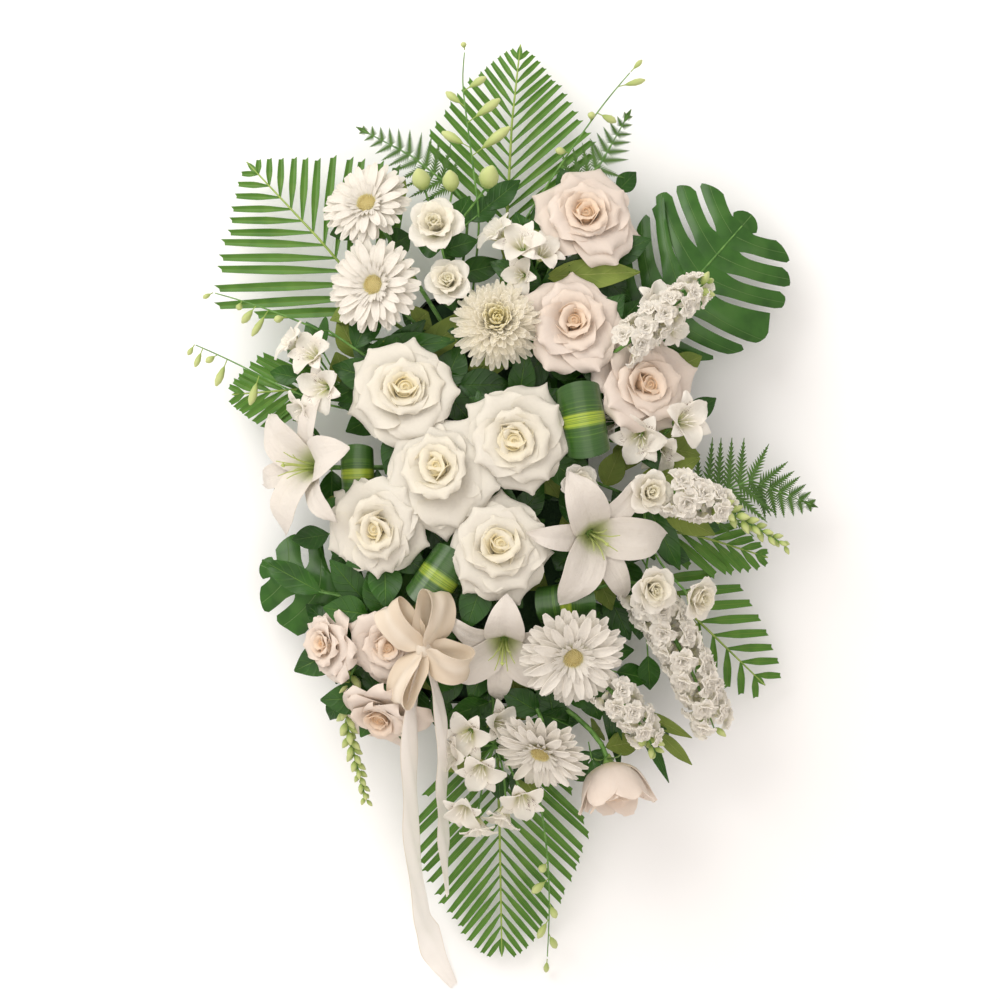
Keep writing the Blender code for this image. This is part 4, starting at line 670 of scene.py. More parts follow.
# %% [markdown]
# ### Stalks
# A stalk is a line with a girth. The tree turns a bare polyline into a curve, takes the radius that each
# point carries and sweeps a small circle along it, closed at both ends.

# %% The stalk tree
tree, knobs = new_tree("stalk", {"Line": "Object", "Sides": 6, "Finish": "Material"})
line = add(tree, "ObjectInfo", {0: knobs["Line"]}).outputs["Geometry"]
girth = add(tree, "InputNamedAttribute", {"Name": "girth"})
curve = add(tree, "SetCurveRadius", {"Curve": add(tree, "MeshToCurve", {0: line}), "Radius": girth})
share = add(tree, "SplineParameter")
marked = add(tree, "StoreNamedAttribute", {"Geometry": curve, "Name": "grow", "Value": share}, domain="POINT")
circle = add(tree, "CurvePrimitiveCircle", {"Resolution": knobs["Sides"], "Radius": 1.0})
swept = add(tree, "CurveToMesh", {0: marked, 1: circle, 2: girth, "Fill Caps": True})
last = add(tree, "SetMaterial", {"Geometry": swept, "Material": knobs["Finish"]})
tree.links.new(last.outputs[0], tree.nodes.new("NodeGroupOutput").inputs[0])


def stalk(path, radii, finish, sides=6):
    """A round stalk along a path, with radii in mm."""
    return grow_along("stalk", path, {"Sides": sides, "Finish": finish}, np.multiply(radii, MM))


def along(points, count):
    """count points evenly spaced along a line through the given ones."""
    points = np.array(points, float)
    steps = np.concatenate([[0], np.cumsum(np.linalg.norm(np.diff(points, axis=0), axis=1))])
    want = np.linspace(0, steps[-1], count)
    return np.column_stack([np.interp(want, steps, points[:, i]) for i in range(3)])


def cone(radii, heights, sides, scale=1.0):
    """A small closed body of revolution along +Z, from radii and heights in mm, with the mark grow along it."""
    rings = [ring_of(r * scale * MM, h * scale * MM, sides) for r, h in zip(radii, heights)]
    faces = []
    for row in range(len(rings) - 1):
        for k in range(sides):
            a, b = row * sides + k, row * sides + (k + 1) % sides
            faces.append((a, b, b + sides, a + sides))
    last = (len(rings) - 1) * sides
    for k in range(1, sides - 1):
        faces += [(0, k + 1, k, -1), (last, last + k, last + k + 1, -1)]
    grown = np.repeat(np.linspace(0, 1, len(rings)), sides)
    marks = np.column_stack([grown, np.zeros_like(grown), np.zeros_like(grown), np.full_like(grown, 0.5)])
    return np.vstack(rings), np.array(faces), marks


trial = stalk([(0, 0, 0), (0, 0, 0.1)], 2, stalk_green)
print("a stalk of", len(trial[0]), "points, across", round(float(np.ptp(trial[0][:, 0])) * 1000, 2), "mm")

# %% [markdown]
# ## Petals bent along a line
# A petal is drawn as a strip: its middle line starts at the root and leans further and further from the
# bloom's axis (0 degrees is upright, 90 flat, more than 90 rolls back), and each cross section is an arc that
# hugs the axis. Those two curves, a width and a little rolling at the edge make every bloom here.

# %% One petal
def petal_grid(root, length, half, bends, hug, roll=0.0, claw=0.35, widest=0.62, point=1.0, rows=9, cols=7,
               wave=0.0, luck=0.0, k=1.0):
    """A petal as a grid of points: it opens towards +X, with the bloom's axis along +Z.

    Lengths are in mm for a bloom of the usual size, and k scales them. root is (radius, height), bends lists
    (share of the length, angle from the axis), hug is the radius of the arc across, roll bends the edges back,
    point is how much the tip is drawn out, and wave and luck ripple the edge.
    """
    length, half, hug, wave = (value * k * MM for value in (length, half, hug, wave))
    t = 1 - (1 - np.linspace(0, 1, rows)) ** 1.4
    fine = np.linspace(0, 1, 60)
    lean = np.radians(np.interp(fine, *zip(*bends)))
    middle = (lean[1:] + lean[:-1]) / 2
    radius = root[0] * k * MM + np.concatenate([[0], np.cumsum(np.sin(middle))]) * length / 59
    height = root[1] * k * MM + np.concatenate([[0], np.cumsum(np.cos(middle))]) * length / 59
    r, z, a = (np.interp(t, fine, values) for values in (radius, height, lean))
    below = claw + (1 - claw) * np.sin(np.pi / 2 * np.clip(t / widest, 0, 1))
    above = np.clip((t - widest) / (1 - widest), 0, 1)
    sharp = min(point, 1.0)
    width = half * below * ((1 - sharp) * np.sqrt(1 - above**2) + sharp * (1 - above) ** 0.9)
    width = np.maximum(width, (0.34 - 0.30 * sharp) * half)
    sides, grown = np.meshgrid(np.linspace(-1, 1, cols), t)
    arc = np.maximum(hug, width / 2.6)[:, None]
    bend = sides * width[:, None] / arc
    off = arc * (1 - np.cos(bend)) - roll * half * np.abs(sides) ** 2.2 * grown**2.5
    off = off + wave * np.sin(sides * 5.0 + luck * 9.0 + grown * 4.0) * np.abs(sides) * grown**1.5
    x = r[:, None] - off * np.cos(a)[:, None]
    return np.stack([x, arc * np.sin(bend), z[:, None] + off * np.sin(a)[:, None]], axis=2)


def spun(grid, angle, tip=0.0, pivot=(0, 0, 0)):
    """A grid turned about +Z by an angle in degrees, after tipping outwards by another."""
    c, s = math.cos(math.radians(tip)), math.sin(math.radians(tip))
    tipped = (grid - pivot) @ np.array([[c, 0, s], [0, 1, 0], [-s, 0, c]]).T + pivot
    c, s = math.cos(math.radians(angle)), math.sin(math.radians(angle))
    return tipped @ np.array([[c, -s, 0], [s, c, 0], [0, 0, 1]]).T


sample = petal_grid((6, 0), 60, 30, ((0, 35), (0.5, 80), (1, 120)), 30)
print("a petal of", sample.shape[:2], "points reaches out", round(float(sample[..., 0].max()) * 1000, 1), "mm")

# %% [markdown]
# ## Roses
# Florists fold back the outer petals of an open rose by hand, which is why these look like peonies: broad
# outer petals with pointed tips, two cups above them, and a tight spiral in the middle. The hanging ones on
# the rim are still closed. Opening (0 to 1) scales how far every petal leans.

# %% Twelve roses
ROSES = (
    # number, (u, v), radius, opening, lean (azimuth, degrees) or None for the dome's
    (1, (592, 210), 57, 0.9, (60, 30)),
    (2, (579, 320), 48, 0.75, None),
    (3, (650, 378), 54, 0.8, (30, 30)),
    (4, (397, 389), 55, 1.0, None),
    (5, (519, 435), 54, 1.0, None),
    (6, (437, 475), 58, 1.0, None),
    (7, (368, 528), 52, 0.95, (200, 22)),
    (8, (499, 552), 54, 1.0, None),
    (9, (383, 650), 40, 0.8, (230, 24)),
    (10, (323, 648), 36, 0.72, (190, 48)),
    (11, (380, 722), 40, 0.66, (250, 52)),
    (12, (612, 780), 38, 0.25, (282, 74)),
)
WHITE_ROSES = (4, 5, 6, 7, 8)
ROSE_LAYERS = (
    # petals, root, length, half width, lean along the petal, hug, edge roll, point, core, start angle
    (5, (6, 0), 60, 36, ((0, 40), (0.35, 78), (0.75, 96), (1, 140)), 90, 0.85, 0.80, 0.0, 0),
    (4, (5, 3), 55, 34, ((0, 24), (0.4, 60), (0.8, 88), (1, 136)), 55, 0.80, 0.70, 0.0, 30),
    (4, (4, 5), 48, 30, ((0, 8), (0.45, 36), (0.8, 72), (1, 128)), 30, 0.55, 0.55, 0.1, 12),
    (3, (4, 6), 41, 29, ((0, 3), (0.55, 12), (0.85, 36), (1, 105)), 22, 0.25, 0.40, 0.3, 50),
    (3, (3, 7), 36, 23, ((0, 2), (0.6, 6), (0.88, 24), (1, 84)), 15, 0.10, 0.25, 0.6, 20),
)
# How the petals of a closed rose lean: out of the calyx, up, and in over the middle
CLOSED_LEAN = ((0, 88), (0.25, 62), (0.5, 12), (0.8, -8), (1, 10))
# One compound leaf of each is drawn small, so that it stays clear of a ribbon tail or of the bloom's mouth
SMALL_LEAVES = ((11, 2), (12, 2))


def rolled_heart(k, turns=3.0, rows=7, cols=64):
    """The middle of a rose: one strip rolled up tight, flared at its upper edge."""
    up, wound = np.meshgrid(np.linspace(0, 1, rows), np.linspace(0, 1, cols), indexing="ij")
    angle = 2 * math.pi * turns * wound
    reach = (0.4 + 9.6 * wound) * k * MM * (1 + 0.18 * up**3)
    height = (8 + (33 - 3 * wound + 0.9 * np.sin(angle * 1.7)) * up) * k * MM
    return np.stack([reach * np.cos(angle), -reach * np.sin(angle), height], axis=2)


def rose(radius, opening, seed, finishes):
    """One rose that opens along +Z from the origin, with its calyx in slot 2."""
    plant, rng, k = Plant(finishes), random.Random(seed * 7 + 3), radius / 55
    spread = opening * opening * (3 - 2 * opening)
    fine = np.linspace(0, 1, 25)
    closed = np.interp(fine, *zip(*CLOSED_LEAN))
    heart = turn(leaning(rng.uniform(0, 360), 13 * spread))
    for layer, (count, root, length, half, bends, hug, roll, point, core, start) in enumerate(ROSE_LAYERS):
        turned = start + rng.uniform(-12, 12)
        leans = np.interp(fine, *zip(*bends)) * spread + closed * (1 - spread)
        for i in range(count):
            lean = leans * rng.uniform(0.93, 1.05)
            grid = petal_grid(
                root, length * (1.75 - 0.75 * spread) * rng.uniform(0.90, 1.06), half * rng.uniform(0.90, 1.08),
                list(zip(fine, lean)), min(hug, 24 + 60 * opening), roll * spread, 0.65 - 0.3 * spread, 0.52,
                point * (0.3 + 0.7 * spread) * rng.uniform(0.3, 1.1), 12, 9,
                wave=2.6 * (0.4 + 0.6 * spread), luck=rng.random(), k=k,
            )
            angle = turned + 360 / count * i + rng.uniform(-15, 15)
            grid = spun(grid, angle, rng.uniform(-10, 10) * spread)
            plant.sheet(grid @ heart.T if layer > 1 else grid, core=core, tone=rng.random())
    plant.sheet(rolled_heart(k) @ heart.T, core=1.0, tone=0.4)
    plant.graft(cone((2, 7, 9, 8.5, 5), (2, 6, 20, 33, 37), 14, k), heart, core=1.0)
    sepal = petal_grid((2, -7), 24 * k, 4 * k, ((0, 50), (0.5, 75), (1, 140)), 30, point=1.6)
    for i in range(5):
        plant.sheet(spun(sepal, 72 * i + 20, 8), 0.6 * MM, slot=2, tone=rng.random())
    return plant


def oval_leaf(length, half, sag=0.18, fold=0.16, rows=11, cols=5, point=1.2):
    """A broad pointed leaf from the origin along +X, folded up along its rib and sagging to its tip."""
    t, s = np.linspace(0, 1, rows), np.linspace(-1, 1, cols)
    shape = np.sin(np.pi * np.clip(t, 0, 1) ** 0.82) ** (0.75 + 0.12 * point)
    width = half * np.maximum(shape, 0.06)
    sides, grown = np.meshgrid(s, t)
    x = length * grown
    y = sides * width[:, None]
    z = fold * np.abs(y) * (1 + 0.6 * np.cos(3.1 * grown)) - sag * length * grown**2
    z += 0.025 * length * np.sin(grown * 11.0) * np.abs(sides)
    return np.stack([x, y, z], axis=2)


def leaf_to(plant, root, tip, half, slot, under, tone, face=(0, 0, 1), sag=0.14):
    """Adds a broad leaf from root to tip, its upper face towards the given way."""
    root, tip = np.asarray(root, float), np.asarray(tip, float)
    x = unit(tip - root)
    y = unit(np.cross(face, x))
    grid = oval_leaf(np.linalg.norm(tip - root), half, sag)
    grid[..., 2] += sag * grid[..., 0]
    grid = grid @ np.column_stack([x, y, np.cross(x, y)]).T + root
    plant.sheet(grid, 0.6 * MM, slot=slot, under=under, tone=tone)


def compound_leaf(plant, root, heading, rng, size=1.0):
    """A rose leaf: a thin rachis with a pair of leaflets and one at its end."""
    a = math.radians(heading)
    way = np.array([math.cos(a), math.sin(a), rng.uniform(0.05, 0.22)]) * size
    across = np.array([-math.sin(a), math.cos(a), 0.0]) * size
    rachis = [root, root + way * 20 * MM + (0, 0, 2 * MM), root + way * 40 * MM]
    plant.graft(stalk(rachis, 0.8, stalk_green, 5), slot=1)
    for at, turned in ((0.55, 64), (0.55, -64), (1.0, 0)):
        foot = root + way * 40 * at * MM
        t = math.radians(turned + rng.uniform(-10, 10))
        run = way * math.cos(t) + across * math.sin(t) + (0, 0, rng.uniform(-0.15, 0.15))
        tip = foot + run * rng.uniform(46, 58) * MM
        leaf_to(plant, foot, tip, rng.uniform(15, 19) * size * MM, 3, 4, rng.random())


def leaf_near(plant, path, place, width, slots, rng):
    """A broad leaf with its tip at a place of the plan, on a leaf stalk from the nearest point of the stem."""
    tip, line = spot(*place), along(path, 60)
    foot = line[np.linalg.norm((line - tip) * [1, 1, 1.6], axis=1).argmin()]
    reach = np.linalg.norm(tip - foot)
    blade_long = min(reach, width * rng.uniform(1.5, 1.9) * MM)
    root = tip + (foot - tip) * blade_long / reach
    if reach > blade_long + MM:
        leaf_stalk = [foot, (foot + root) / 2 + (0, 0, 3 * MM), root]
        plant.graft(stalk(leaf_stalk, 1.0, stalk_green, 5), slot=slots[0])
    side = slots[1:] if rng.random() < 0.8 else slots[:0:-1]
    face = (rng.uniform(-0.4, 0.4), rng.uniform(-0.4, 0.4), 1.0)
    leaf_to(plant, root, tip, width / 2 * MM, *side, rng.random(), face)


# Leaves that each stem carries in the gaps between its neighbours: where their tips lie on the plan
GAP_LEAVES = {
    "rose_1": ((545, 238), (640, 246), (560, 168), (636, 172)),
    "rose_2": ((545, 282), (628, 290), (545, 362), (600, 262)),
    "rose_3": ((608, 402), (690, 440), (702, 356), (640, 448)),
    "rose_4": ((352, 344), (440, 338), (346, 432), (470, 380), (338, 404)),
    "rose_5": ((560, 498), (478, 378), (548, 372), (590, 470)),
    "rose_6": ((400, 440), (452, 548), (498, 500)),
    "rose_7": ((322, 500), (330, 566), (402, 582), (292, 540)),
    "rose_8": ((548, 590), (452, 602), (545, 520), (500, 622)),
    "rose_9": ((420, 618), (352, 610), (436, 692), (400, 700)),
    "rose_10": ((306, 604), (350, 640), (336, 684)),
    "rose_11": ((346, 694), (420, 722), (446, 738)),
    "rose_12": ((566, 716), (640, 742), (600, 728)),
    "chrysanthemum": ((462, 292), (528, 296), (520, 368), (440, 322)),
    "lily_1": ((300, 420), (330, 515), (272, 500)),
    "lily_2": ((570, 470), (556, 570), (640, 610), (655, 520)),
    "lily_3": ((470, 702), (520, 712), (450, 660), (478, 742), (430, 706), (498, 752)),
    "gerbera_1": ((330, 235), (405, 178), (410, 235)),
    "gerbera_2": ((330, 320), (408, 262), (404, 322), (352, 322), (428, 312)),
    "gerbera_3": ((600, 612), (622, 690), (560, 700), (634, 650)),
    "gerbera_4": ((506, 716), (580, 722), (590, 782), (512, 792), (472, 738), (448, 716)),
    "lisianthus_top": ((470, 196), (478, 240), (418, 246), (455, 256), (500, 196), (505, 262), (432, 196),
        (520, 180), (440, 300)),
    "lisianthus_right": ((612, 610), (640, 560), (690, 560), (630, 640), (680, 620), (610, 560),
        (640, 596), (612, 650)),
    "alstroemeria_top": ((548, 196), (516, 212), (560, 240), (500, 236)),
    "alstroemeria_right": ((700, 455), (668, 462), (716, 398), (625, 470)),
    "alstroemeria_left": ((286, 345), (336, 352), (292, 398), (345, 398), (306, 322), (338, 318),
        (270, 372)),
    "alstroemeria_bottom": ((462, 742), (520, 760), (500, 800), (440, 770), (540, 800)),
    "stock_upper_right": ((640, 300), (690, 320), (668, 280), (640, 350)),
    "stock_lower_right": ((640, 640), (700, 640), (650, 690), (676, 600)),
    "stock_lower_middle": ((612, 668), (650, 680), (600, 720), (668, 740)),
    "snapdragon_right": ((690, 520), (720, 530), (670, 470)),
    "snapdragon_left": ((330, 720), (362, 690)),
}


def gap_leaves(plant, name, path, slots):
    """The leaves of the table for one stem. slots: finish of the leaf stalk, of the upper and of the lower face."""
    rng = random.Random(len(name) + ord(name[-1]))
    for u, v in GAP_LEAVES[name]:
        level = dome_at(u, v)[0]
        leaf_near(plant, path, (u, v, 0.65 * level), rng.uniform(-3, 3) + 200 * level, slots, rng)


def plant_out(plant, name, base, axis, radius, slot=1, leaves=None, finish=stalk_green):
    """Gives a plant its stem out of the foam, with its gap leaves, and sets it in its solid's place."""
    path = stem_line(name, base, axis)
    plant.graft(stalk(path, radius, finish), slot=slot)
    if leaves:
        gap_leaves(plant, name, path, leaves)
    dress(name, plant, name)


for number, place, radius, opening, lean in ROSES:
    name, rng, white = f"rose_{number}", random.Random(number), number in WHITE_ROSES
    finishes = [white_rose if white else blush_rose, stalk_green, calyx_green, broad_green, olive_under]
    probe = ring_of(3 * radius / 55 * MM, 38 * radius / 55 * MM, 4)
    base, rotation = head_stand(name, place, lean and leaning(*lean), 0, 0.5 * radius * MM, probe)
    plant, axis = Plant(finishes), rotation[:, 2]
    flower = rose(radius * (1.12 if white else 1.05), opening, number, finishes)
    plant.join(flower, rotation * [1, 1, 0.76 if opening > 0.6 else 1.0], base)
    path = stem_line(name, base - axis * 5 * MM, axis)
    knob = [base + axis * at * MM for at in (-8, -5, 0, 4)]
    plant.graft(stalk(knob, (2.8, 5.5, 6.5, 4.0), calyx_green, 8), slot=2)
    first = rng.uniform(0, 120)
    for i in range(3):
        root = path[1] + (path[-1] - path[1]) * (0.50 + 0.16 * i)
        heading = first + 120 * i + rng.uniform(-25, 25)
        compound_leaf(plant, root, heading, rng, 0.5 if (number, i) in SMALL_LEAVES else 1.0)
    plant_out(plant, name, base - axis * 5 * MM, axis, 2.8, leaves=(1, 3, 4))

print("roses:", {key: round(value * 1000, 2) for key, value in misfits.items()}, "mm off their landmarks")

# %% [markdown]
# ## Gerberas
# A gerbera is a composite: what look like petals are ray florets in four rings, and the yellow disc is 150
# tiny ones along a sunflower spiral. Turning each floret by the golden angle from the last packs them with
# no gap, and the inner ones are still small.

# %% Four gerberas
GERBERAS = (
    # number, (u, v), radius, lean
    (1, (367, 204), 46, (125, 30)),
    (2, (374, 285), 50, (165, 20)),
    (3, (573, 657), 55, (285, 24)),
    (4, (541, 752), 50, (245, 46)),
)
# How far each floret turns from the last, as in a sunflower
GOLDEN_TURN = math.radians(137.508)
disc_finish = petal_finish("gerbera_disc_floret", "#F3E9AE", "#CBB250", "#E6D684", 0.6, 0.6, 0.2, 0.3, "#BFA548")

tree, knobs = new_tree(
    "golden_angle_disc",
    {"Item": "Object", "Count": 120, "Radius": 0.012, "Dome": 0.004, "Seed": 0, "Finish": "Material"},
)
index = add(tree, "InputIndex")
middle = add(tree, "Math", {0: index, 1: 0.5}, operation="ADD")
share = add(tree, "Math", {0: middle, 1: knobs["Count"]}, operation="DIVIDE")
spiral = add(tree, "Math", {0: share}, operation="SQRT")
reach = add(tree, "Math", {0: spiral, 1: knobs["Radius"]}, operation="MULTIPLY")
angle = add(tree, "Math", {0: index, 1: GOLDEN_TURN}, operation="MULTIPLY")
high = add(tree, "MapRange", {0: share, 3: knobs["Dome"], 4: 0.0})
root = add(tree, "CombineXYZ", {0: reach, 2: high})
place = add(tree, "VectorRotate", {"Vector": root, "Angle": angle}, rotation_type="Z_AXIS")
spots = add(tree, "Points", {"Count": knobs["Count"], "Position": place})
lean_out = add(tree, "Math", {0: share, 1: 0.7}, operation="MULTIPLY")
facing = add(tree, "EulerToRotation", {0: add(tree, "CombineXYZ", {1: lean_out, 2: angle})})
size = chance(tree, knobs, add(tree, "MapRange", {0: share, 3: 0.7, 4: 1.2}), 0.12, 1)
copies(tree, knobs, spots, facing, size)

disc_floret = kept("disc_floret", disc_finish, cone((0.55, 0.75, 0.25), (0, 1.6, 2.6), 5))
FLAT_BEND = ((0, 78), (0.2, 84), (0.7, 90), (1, 99))
GERBERA_RINGS = (
    # ray, count, radius, height, tilt, size, jitter of tilt, turn and size
    ("long", 21, 9.5, 1.2, 0, 1.0, (4, 4, 0.07)), ("long", 21, 9.5, 2.9, 4, 0.97, (5, 4, 0.08)),
    ("mid", 21, 9.0, 4.8, 5, 1.06, (6, 6, 0.12)), ("short", 40, 9.2, 7.2, -4, 1.25, (12, 7, 0.25)),
)
for number, place, radius, lean in GERBERAS:
    name, k = f"gerbera_{number}", radius / 47
    base, rotation = head_stand(name, place, leaning(*lean), 0, 6 * MM, ring_of(8 * MM, 11 * MM, 7))
    plant = Plant([gerbera_white, stalk_green, disc_finish, calyx_green, broad_green, olive_under])
    rays = {
        "long": petal_grid((0, 0), 41 * k, 5.6 * k, FLAT_BEND, 11, -0.1, 0.5, 0.66, 0.15, 8, 5),
        "mid": petal_grid((0, 0), 34 * k, 5.0 * k, ((0, 62), (0.3, 74), (1, 86)), 9, -0.1, 0.5, 0.66, 0.15, 7, 5),
        "short": petal_grid((0, 0), 12 * k, 1.7, ((0, 30), (1, 64)), 4, 0, 0.6, 0.6, 0.3, 4, 3),
    }
    for kind, grid in rays.items():
        rays[kind] = kept(f"{kind}_ray", gerbera_white, grid, 0.4 * MM if kind == "short" else PETAL_THICK)
    for row, (kind, count, reach, lift, tilt, size, jitter) in enumerate(GERBERA_RINGS):
        seed = number * 9 + row
        made = ring(rays[kind], count, reach, lift, tilt, gerbera_white, seed, size, jitter, 11 * row)
        plant.graft(made, rotation, base)
    plant.graft(cone((7.0, 10.4, 10.8, 8.2, 3.0), (-4, 2, 6.4, 8.2, 9.0), 20), rotation, base, slot=2)
    plant.graft(cone((3.0, 8.0, 11.0, 11.5), (-6, -4.5, -1, 3), 14), rotation, base, slot=3)
    settings = {"Item": disc_floret, "Count": 150, "Radius": 11.2 * MM, "Dome": 3 * MM, "Seed": number}
    disc = grow("golden_angle_disc", {**settings, "Finish": disc_finish})
    plant.graft(disc, rotation, base + rotation[:, 2] * 7.2 * MM, slot=2)
    axis = rotation[:, 2]
    plant_out(plant, name, base - axis * 5 * MM, axis, 2.4, leaves=(1, 4, 5))
print("a gerbera has", sum(len(f) for f in plant.faces), "faces")

# %% [markdown]
# ## Chrysanthemum
# A decorative chrysanthemum is a ball of some three hundred petals: the outer ones hang, each ring above
# stands more upright and is shorter, and the middle ones curve in over the heart.

# %% One chrysanthemum
MUM_PLACE = (497, 321)
MUM_PETALS = (
    # kind, length, half width, lean along the petal
    ("long", 41, 4.0, ((0, 60), (0.5, 92), (0.85, 96), (1, 62))),
    ("mid", 34, 3.9, ((0, 34), (0.5, 62), (0.85, 56), (1, 14))),
    ("short", 27, 3.7, ((0, 12), (0.5, 26), (0.85, 10), (1, -30))),
)
MUM_RINGS = (
    # kind, count, radius, height, tilt, size
    ("long", 28, 7, 1, -8, 1.05), ("long", 28, 7, 5, 2, 1.03), ("long", 28, 8, 9, 11, 0.99),
    ("long", 28, 8, 13, 20, 0.92), ("mid", 30, 8, 14, -8, 1.10), ("mid", 29, 8, 17, 2, 1.06),
    ("mid", 28, 7, 20, 10, 1.0), ("mid", 26, 7, 21, 18, 0.92), ("short", 24, 7, 20, -16, 1.10),
    ("short", 22, 6, 22, -6, 1.06), ("short", 18, 5, 23, 2, 1.0), ("short", 13, 3.5, 25, 9, 0.90),
    ("short", 8, 2, 27, 14, 0.76),
)
petals = {}
for kind, length, half, bends in MUM_PETALS:
    grid = petal_grid((0, 0), length, half, bends, 4.2, 0.0, 0.6, 0.66, 0.2, 7, 5)
    petals[kind] = kept(f"mum_{kind}", mum_ivory, grid)
base, rotation = head_stand("chrysanthemum", MUM_PLACE, None, 0, 22 * MM, ring_of(4 * MM, 40 * MM, 4))
plant = Plant([mum_ivory, stalk_green, broad_green, olive_under])
for row, (kind, count, reach, lift, tilt, size) in enumerate(MUM_RINGS):
    made = ring(petals[kind], count, reach, lift, tilt, mum_ivory, 50 + row, size, (7, 6, 0.08), 13 * row)
    plant.graft(made, rotation * [1, 1, 0.88], base, core=min(1.0, max(0.0, (row - 8) / 4)))
plant.graft(cone((3, 8, 11, 10, 5), (-8, -3, 8, 26, 33), 12), rotation, base, core=1.0)
axis = rotation[:, 2]
plant_out(plant, "chrysanthemum", base - axis * 5 * MM, axis, 3.0, leaves=(1, 2, 3))
print("chrysanthemum:", sum(count for _, count, *_ in MUM_RINGS), "petals")

# %% [markdown]
# ## Oriental lilies
# Three broad inner tepals lie over three narrow outer ones, all joined in a lime throat and rolled back at
# the tip, with a groove down each midrib and a wavy edge. The anthers have been pulled so that pollen does
# not stain, which leaves six pale filaments and a long pistil with a three-cornered stigma.

# %% Three lilies
LILIES = (
    # number, (u, v), radius, lean, spin
    (1, (296, 466), 66, (178, 46), 12),
    (2, (600, 540), 68, (325, 24), -2),
    (3, (503, 655), 62, (265, 34), 84),
)
BROAD = ((4, 1), (8, 8), (20, 24), (34, 33), (48, 37), (62, 33), (74, 22))
NARROW = ((4, -5), (8, 2), (21, 18), (34, 27), (48, 31), (62, 27), (74, 16))


def tepal(line, half, k, luck, rows=14, cols=9):
    """A lily tepal along a line of (radius, height), with a grooved rib and wavy edges."""
    t = np.linspace(0, 1, rows)
    line = np.array(line, float) * k * MM
    steps = np.concatenate([[0], np.cumsum(np.linalg.norm(np.diff(line, axis=0), axis=1))])
    r, z = np.interp(t * steps[-1], steps, line[:, 0]), np.interp(t * steps[-1], steps, line[:, 1])
    width = half * k * MM * np.maximum(np.sin(np.pi * np.clip(0.10 + 0.90 * t, 0, 1)) ** 0.72, 0.05)
    sides, grown = np.meshgrid(np.linspace(-1, 1, cols), t)
    run = np.gradient(np.column_stack([r, z]), axis=0)
    run /= np.linalg.norm(run, axis=1, keepdims=True)
    cup = (0.42 * (1 - grown) ** 1.2 - 0.10 * grown) * np.abs(sides) ** 1.6 * width[:, None]
    groove = -1.6 * MM * k * np.exp(-((sides / 0.16) ** 2)) * np.sin(np.pi * grown)
    ripple = 2.4 * MM * k * np.sin(grown * 13 + luck * 8 + np.sign(sides)) * np.abs(sides) ** 3 * grown
    off = cup + groove + ripple
    x = r[:, None] - off * run[:, 1:]
    height = z[:, None] + off * run[:, :1]
    return np.stack([x, sides * width[:, None], height], axis=2)


stigma_finish = petal_finish("lily_pistil", "#BFCB7A", "#9DB35A", "#BFCB7A", 0.5, 0.4, 0.15, 0.2, "#93A24E")
for number, place, radius, lean, spin in LILIES:
    name, k, rng = f"lily_{number}", radius / 70, random.Random(number + 40)
    probe = ring_of(2.6 * k * MM, 58 * k * MM, 3)
    base, rotation = head_stand(name, place, leaning(*lean), spin, 30 * MM, probe)
    plant = Plant([lily_white, stalk_green, stigma_finish, broad_green, calyx_green, olive_under])
    for i in range(3):
        for line, half, turned in ((NARROW, 14.0, 60), (BROAD, 22.0, 0)):
            grid = tepal(line, half, k * 1.14, rng.random()) * [1, 1, 0.86]
            grid = spun(grid, 120 * i + turned + rng.uniform(-4, 4), rng.uniform(-4, 4))
            plant.sheet(grid @ rotation.T + base, 0.6 * MM, tone=rng.random())
    for i in range(6):
        a = math.radians(60 * i + 30)
        line = [(3, 4), (6, 22), (11, 38), (17 + rng.uniform(-2, 2), 48)]
        path = np.array([(r * math.cos(a), r * math.sin(a), z) for r, z in line]) * k * MM
        plant.graft(stalk(path, (1.1, 0.9, 0.7, 0.5), stigma_finish, 5), rotation, base, slot=2)
    pistil = np.array([(0, 0, 4), (0.4, 0.3, 20), (1.2, 0.8, 38), (0.6, 0.4, 50)]) * k * MM
    plant.graft(stalk(pistil, (2.2, 1.5, 1.1, 1.2), stigma_finish, 7), rotation, base, slot=2)
    stigma = cone(np.array([1.2, 2.9, 2.6, 0.6]) / k, (49, 51, 53, 53.6), 3, k)
    plant.graft(stigma, rotation, base, slot=2)
    plant.graft(cone((3.6, 4.2, 5.0, 3.0), (-15, -6, 2, 5), 9, k), rotation, base, slot=4)
    axis = rotation[:, 2]
    plant_out(plant, name, base - axis * 5 * MM, axis, 2.8, leaves=(1, 3, 5))
print("dressed:", len(dressed))
print("landmark misses:", {key: round(value * 1000, 2) for key, value in misfits.items()})

# %% [markdown]
# ## Fronds along a rib
# Palm leaflets and fern pinnae obey one rule: they leave the rib at an angle that closes towards the tip, and
# they shorten along it. The tree walks the rib, works out that angle and length at each step, and sets one
# leaflet there, its face up. Left and right are the same tree with the side turned over.

# %% The rib tree
tree, knobs = new_tree(
    "rib_leaflets",
    {
        "Line": "Object", "Item": "Object", "Count": 20, "Longest": 0.12, "Power": 0.8, "Side": 1.0,
        "Angle Start": 0.9, "Angle End": 0.6, "Droop": 0.1, "Width": 1.0, "Jitter": 0.05, "Seed": 0,
        "Finish": "Material",
    },
)
rib_line = add(tree, "ObjectInfo", {0: knobs["Line"]}).outputs["Geometry"]
walk = add(tree, "CurveToPoints", {"Curve": add(tree, "MeshToCurve", {0: rib_line}), "Count": knobs["Count"]})
run = walk.outputs["Tangent"]
share = add(tree, "Math", {0: add(tree, "InputIndex"), 1: knobs["Count"]}, operation="DIVIDE")
aside = add(tree, "VectorMath", {0: run, 1: (0, 0, 1)}, operation="CROSS_PRODUCT")
aside = add(tree, "VectorMath", {0: aside}, operation="NORMALIZE")
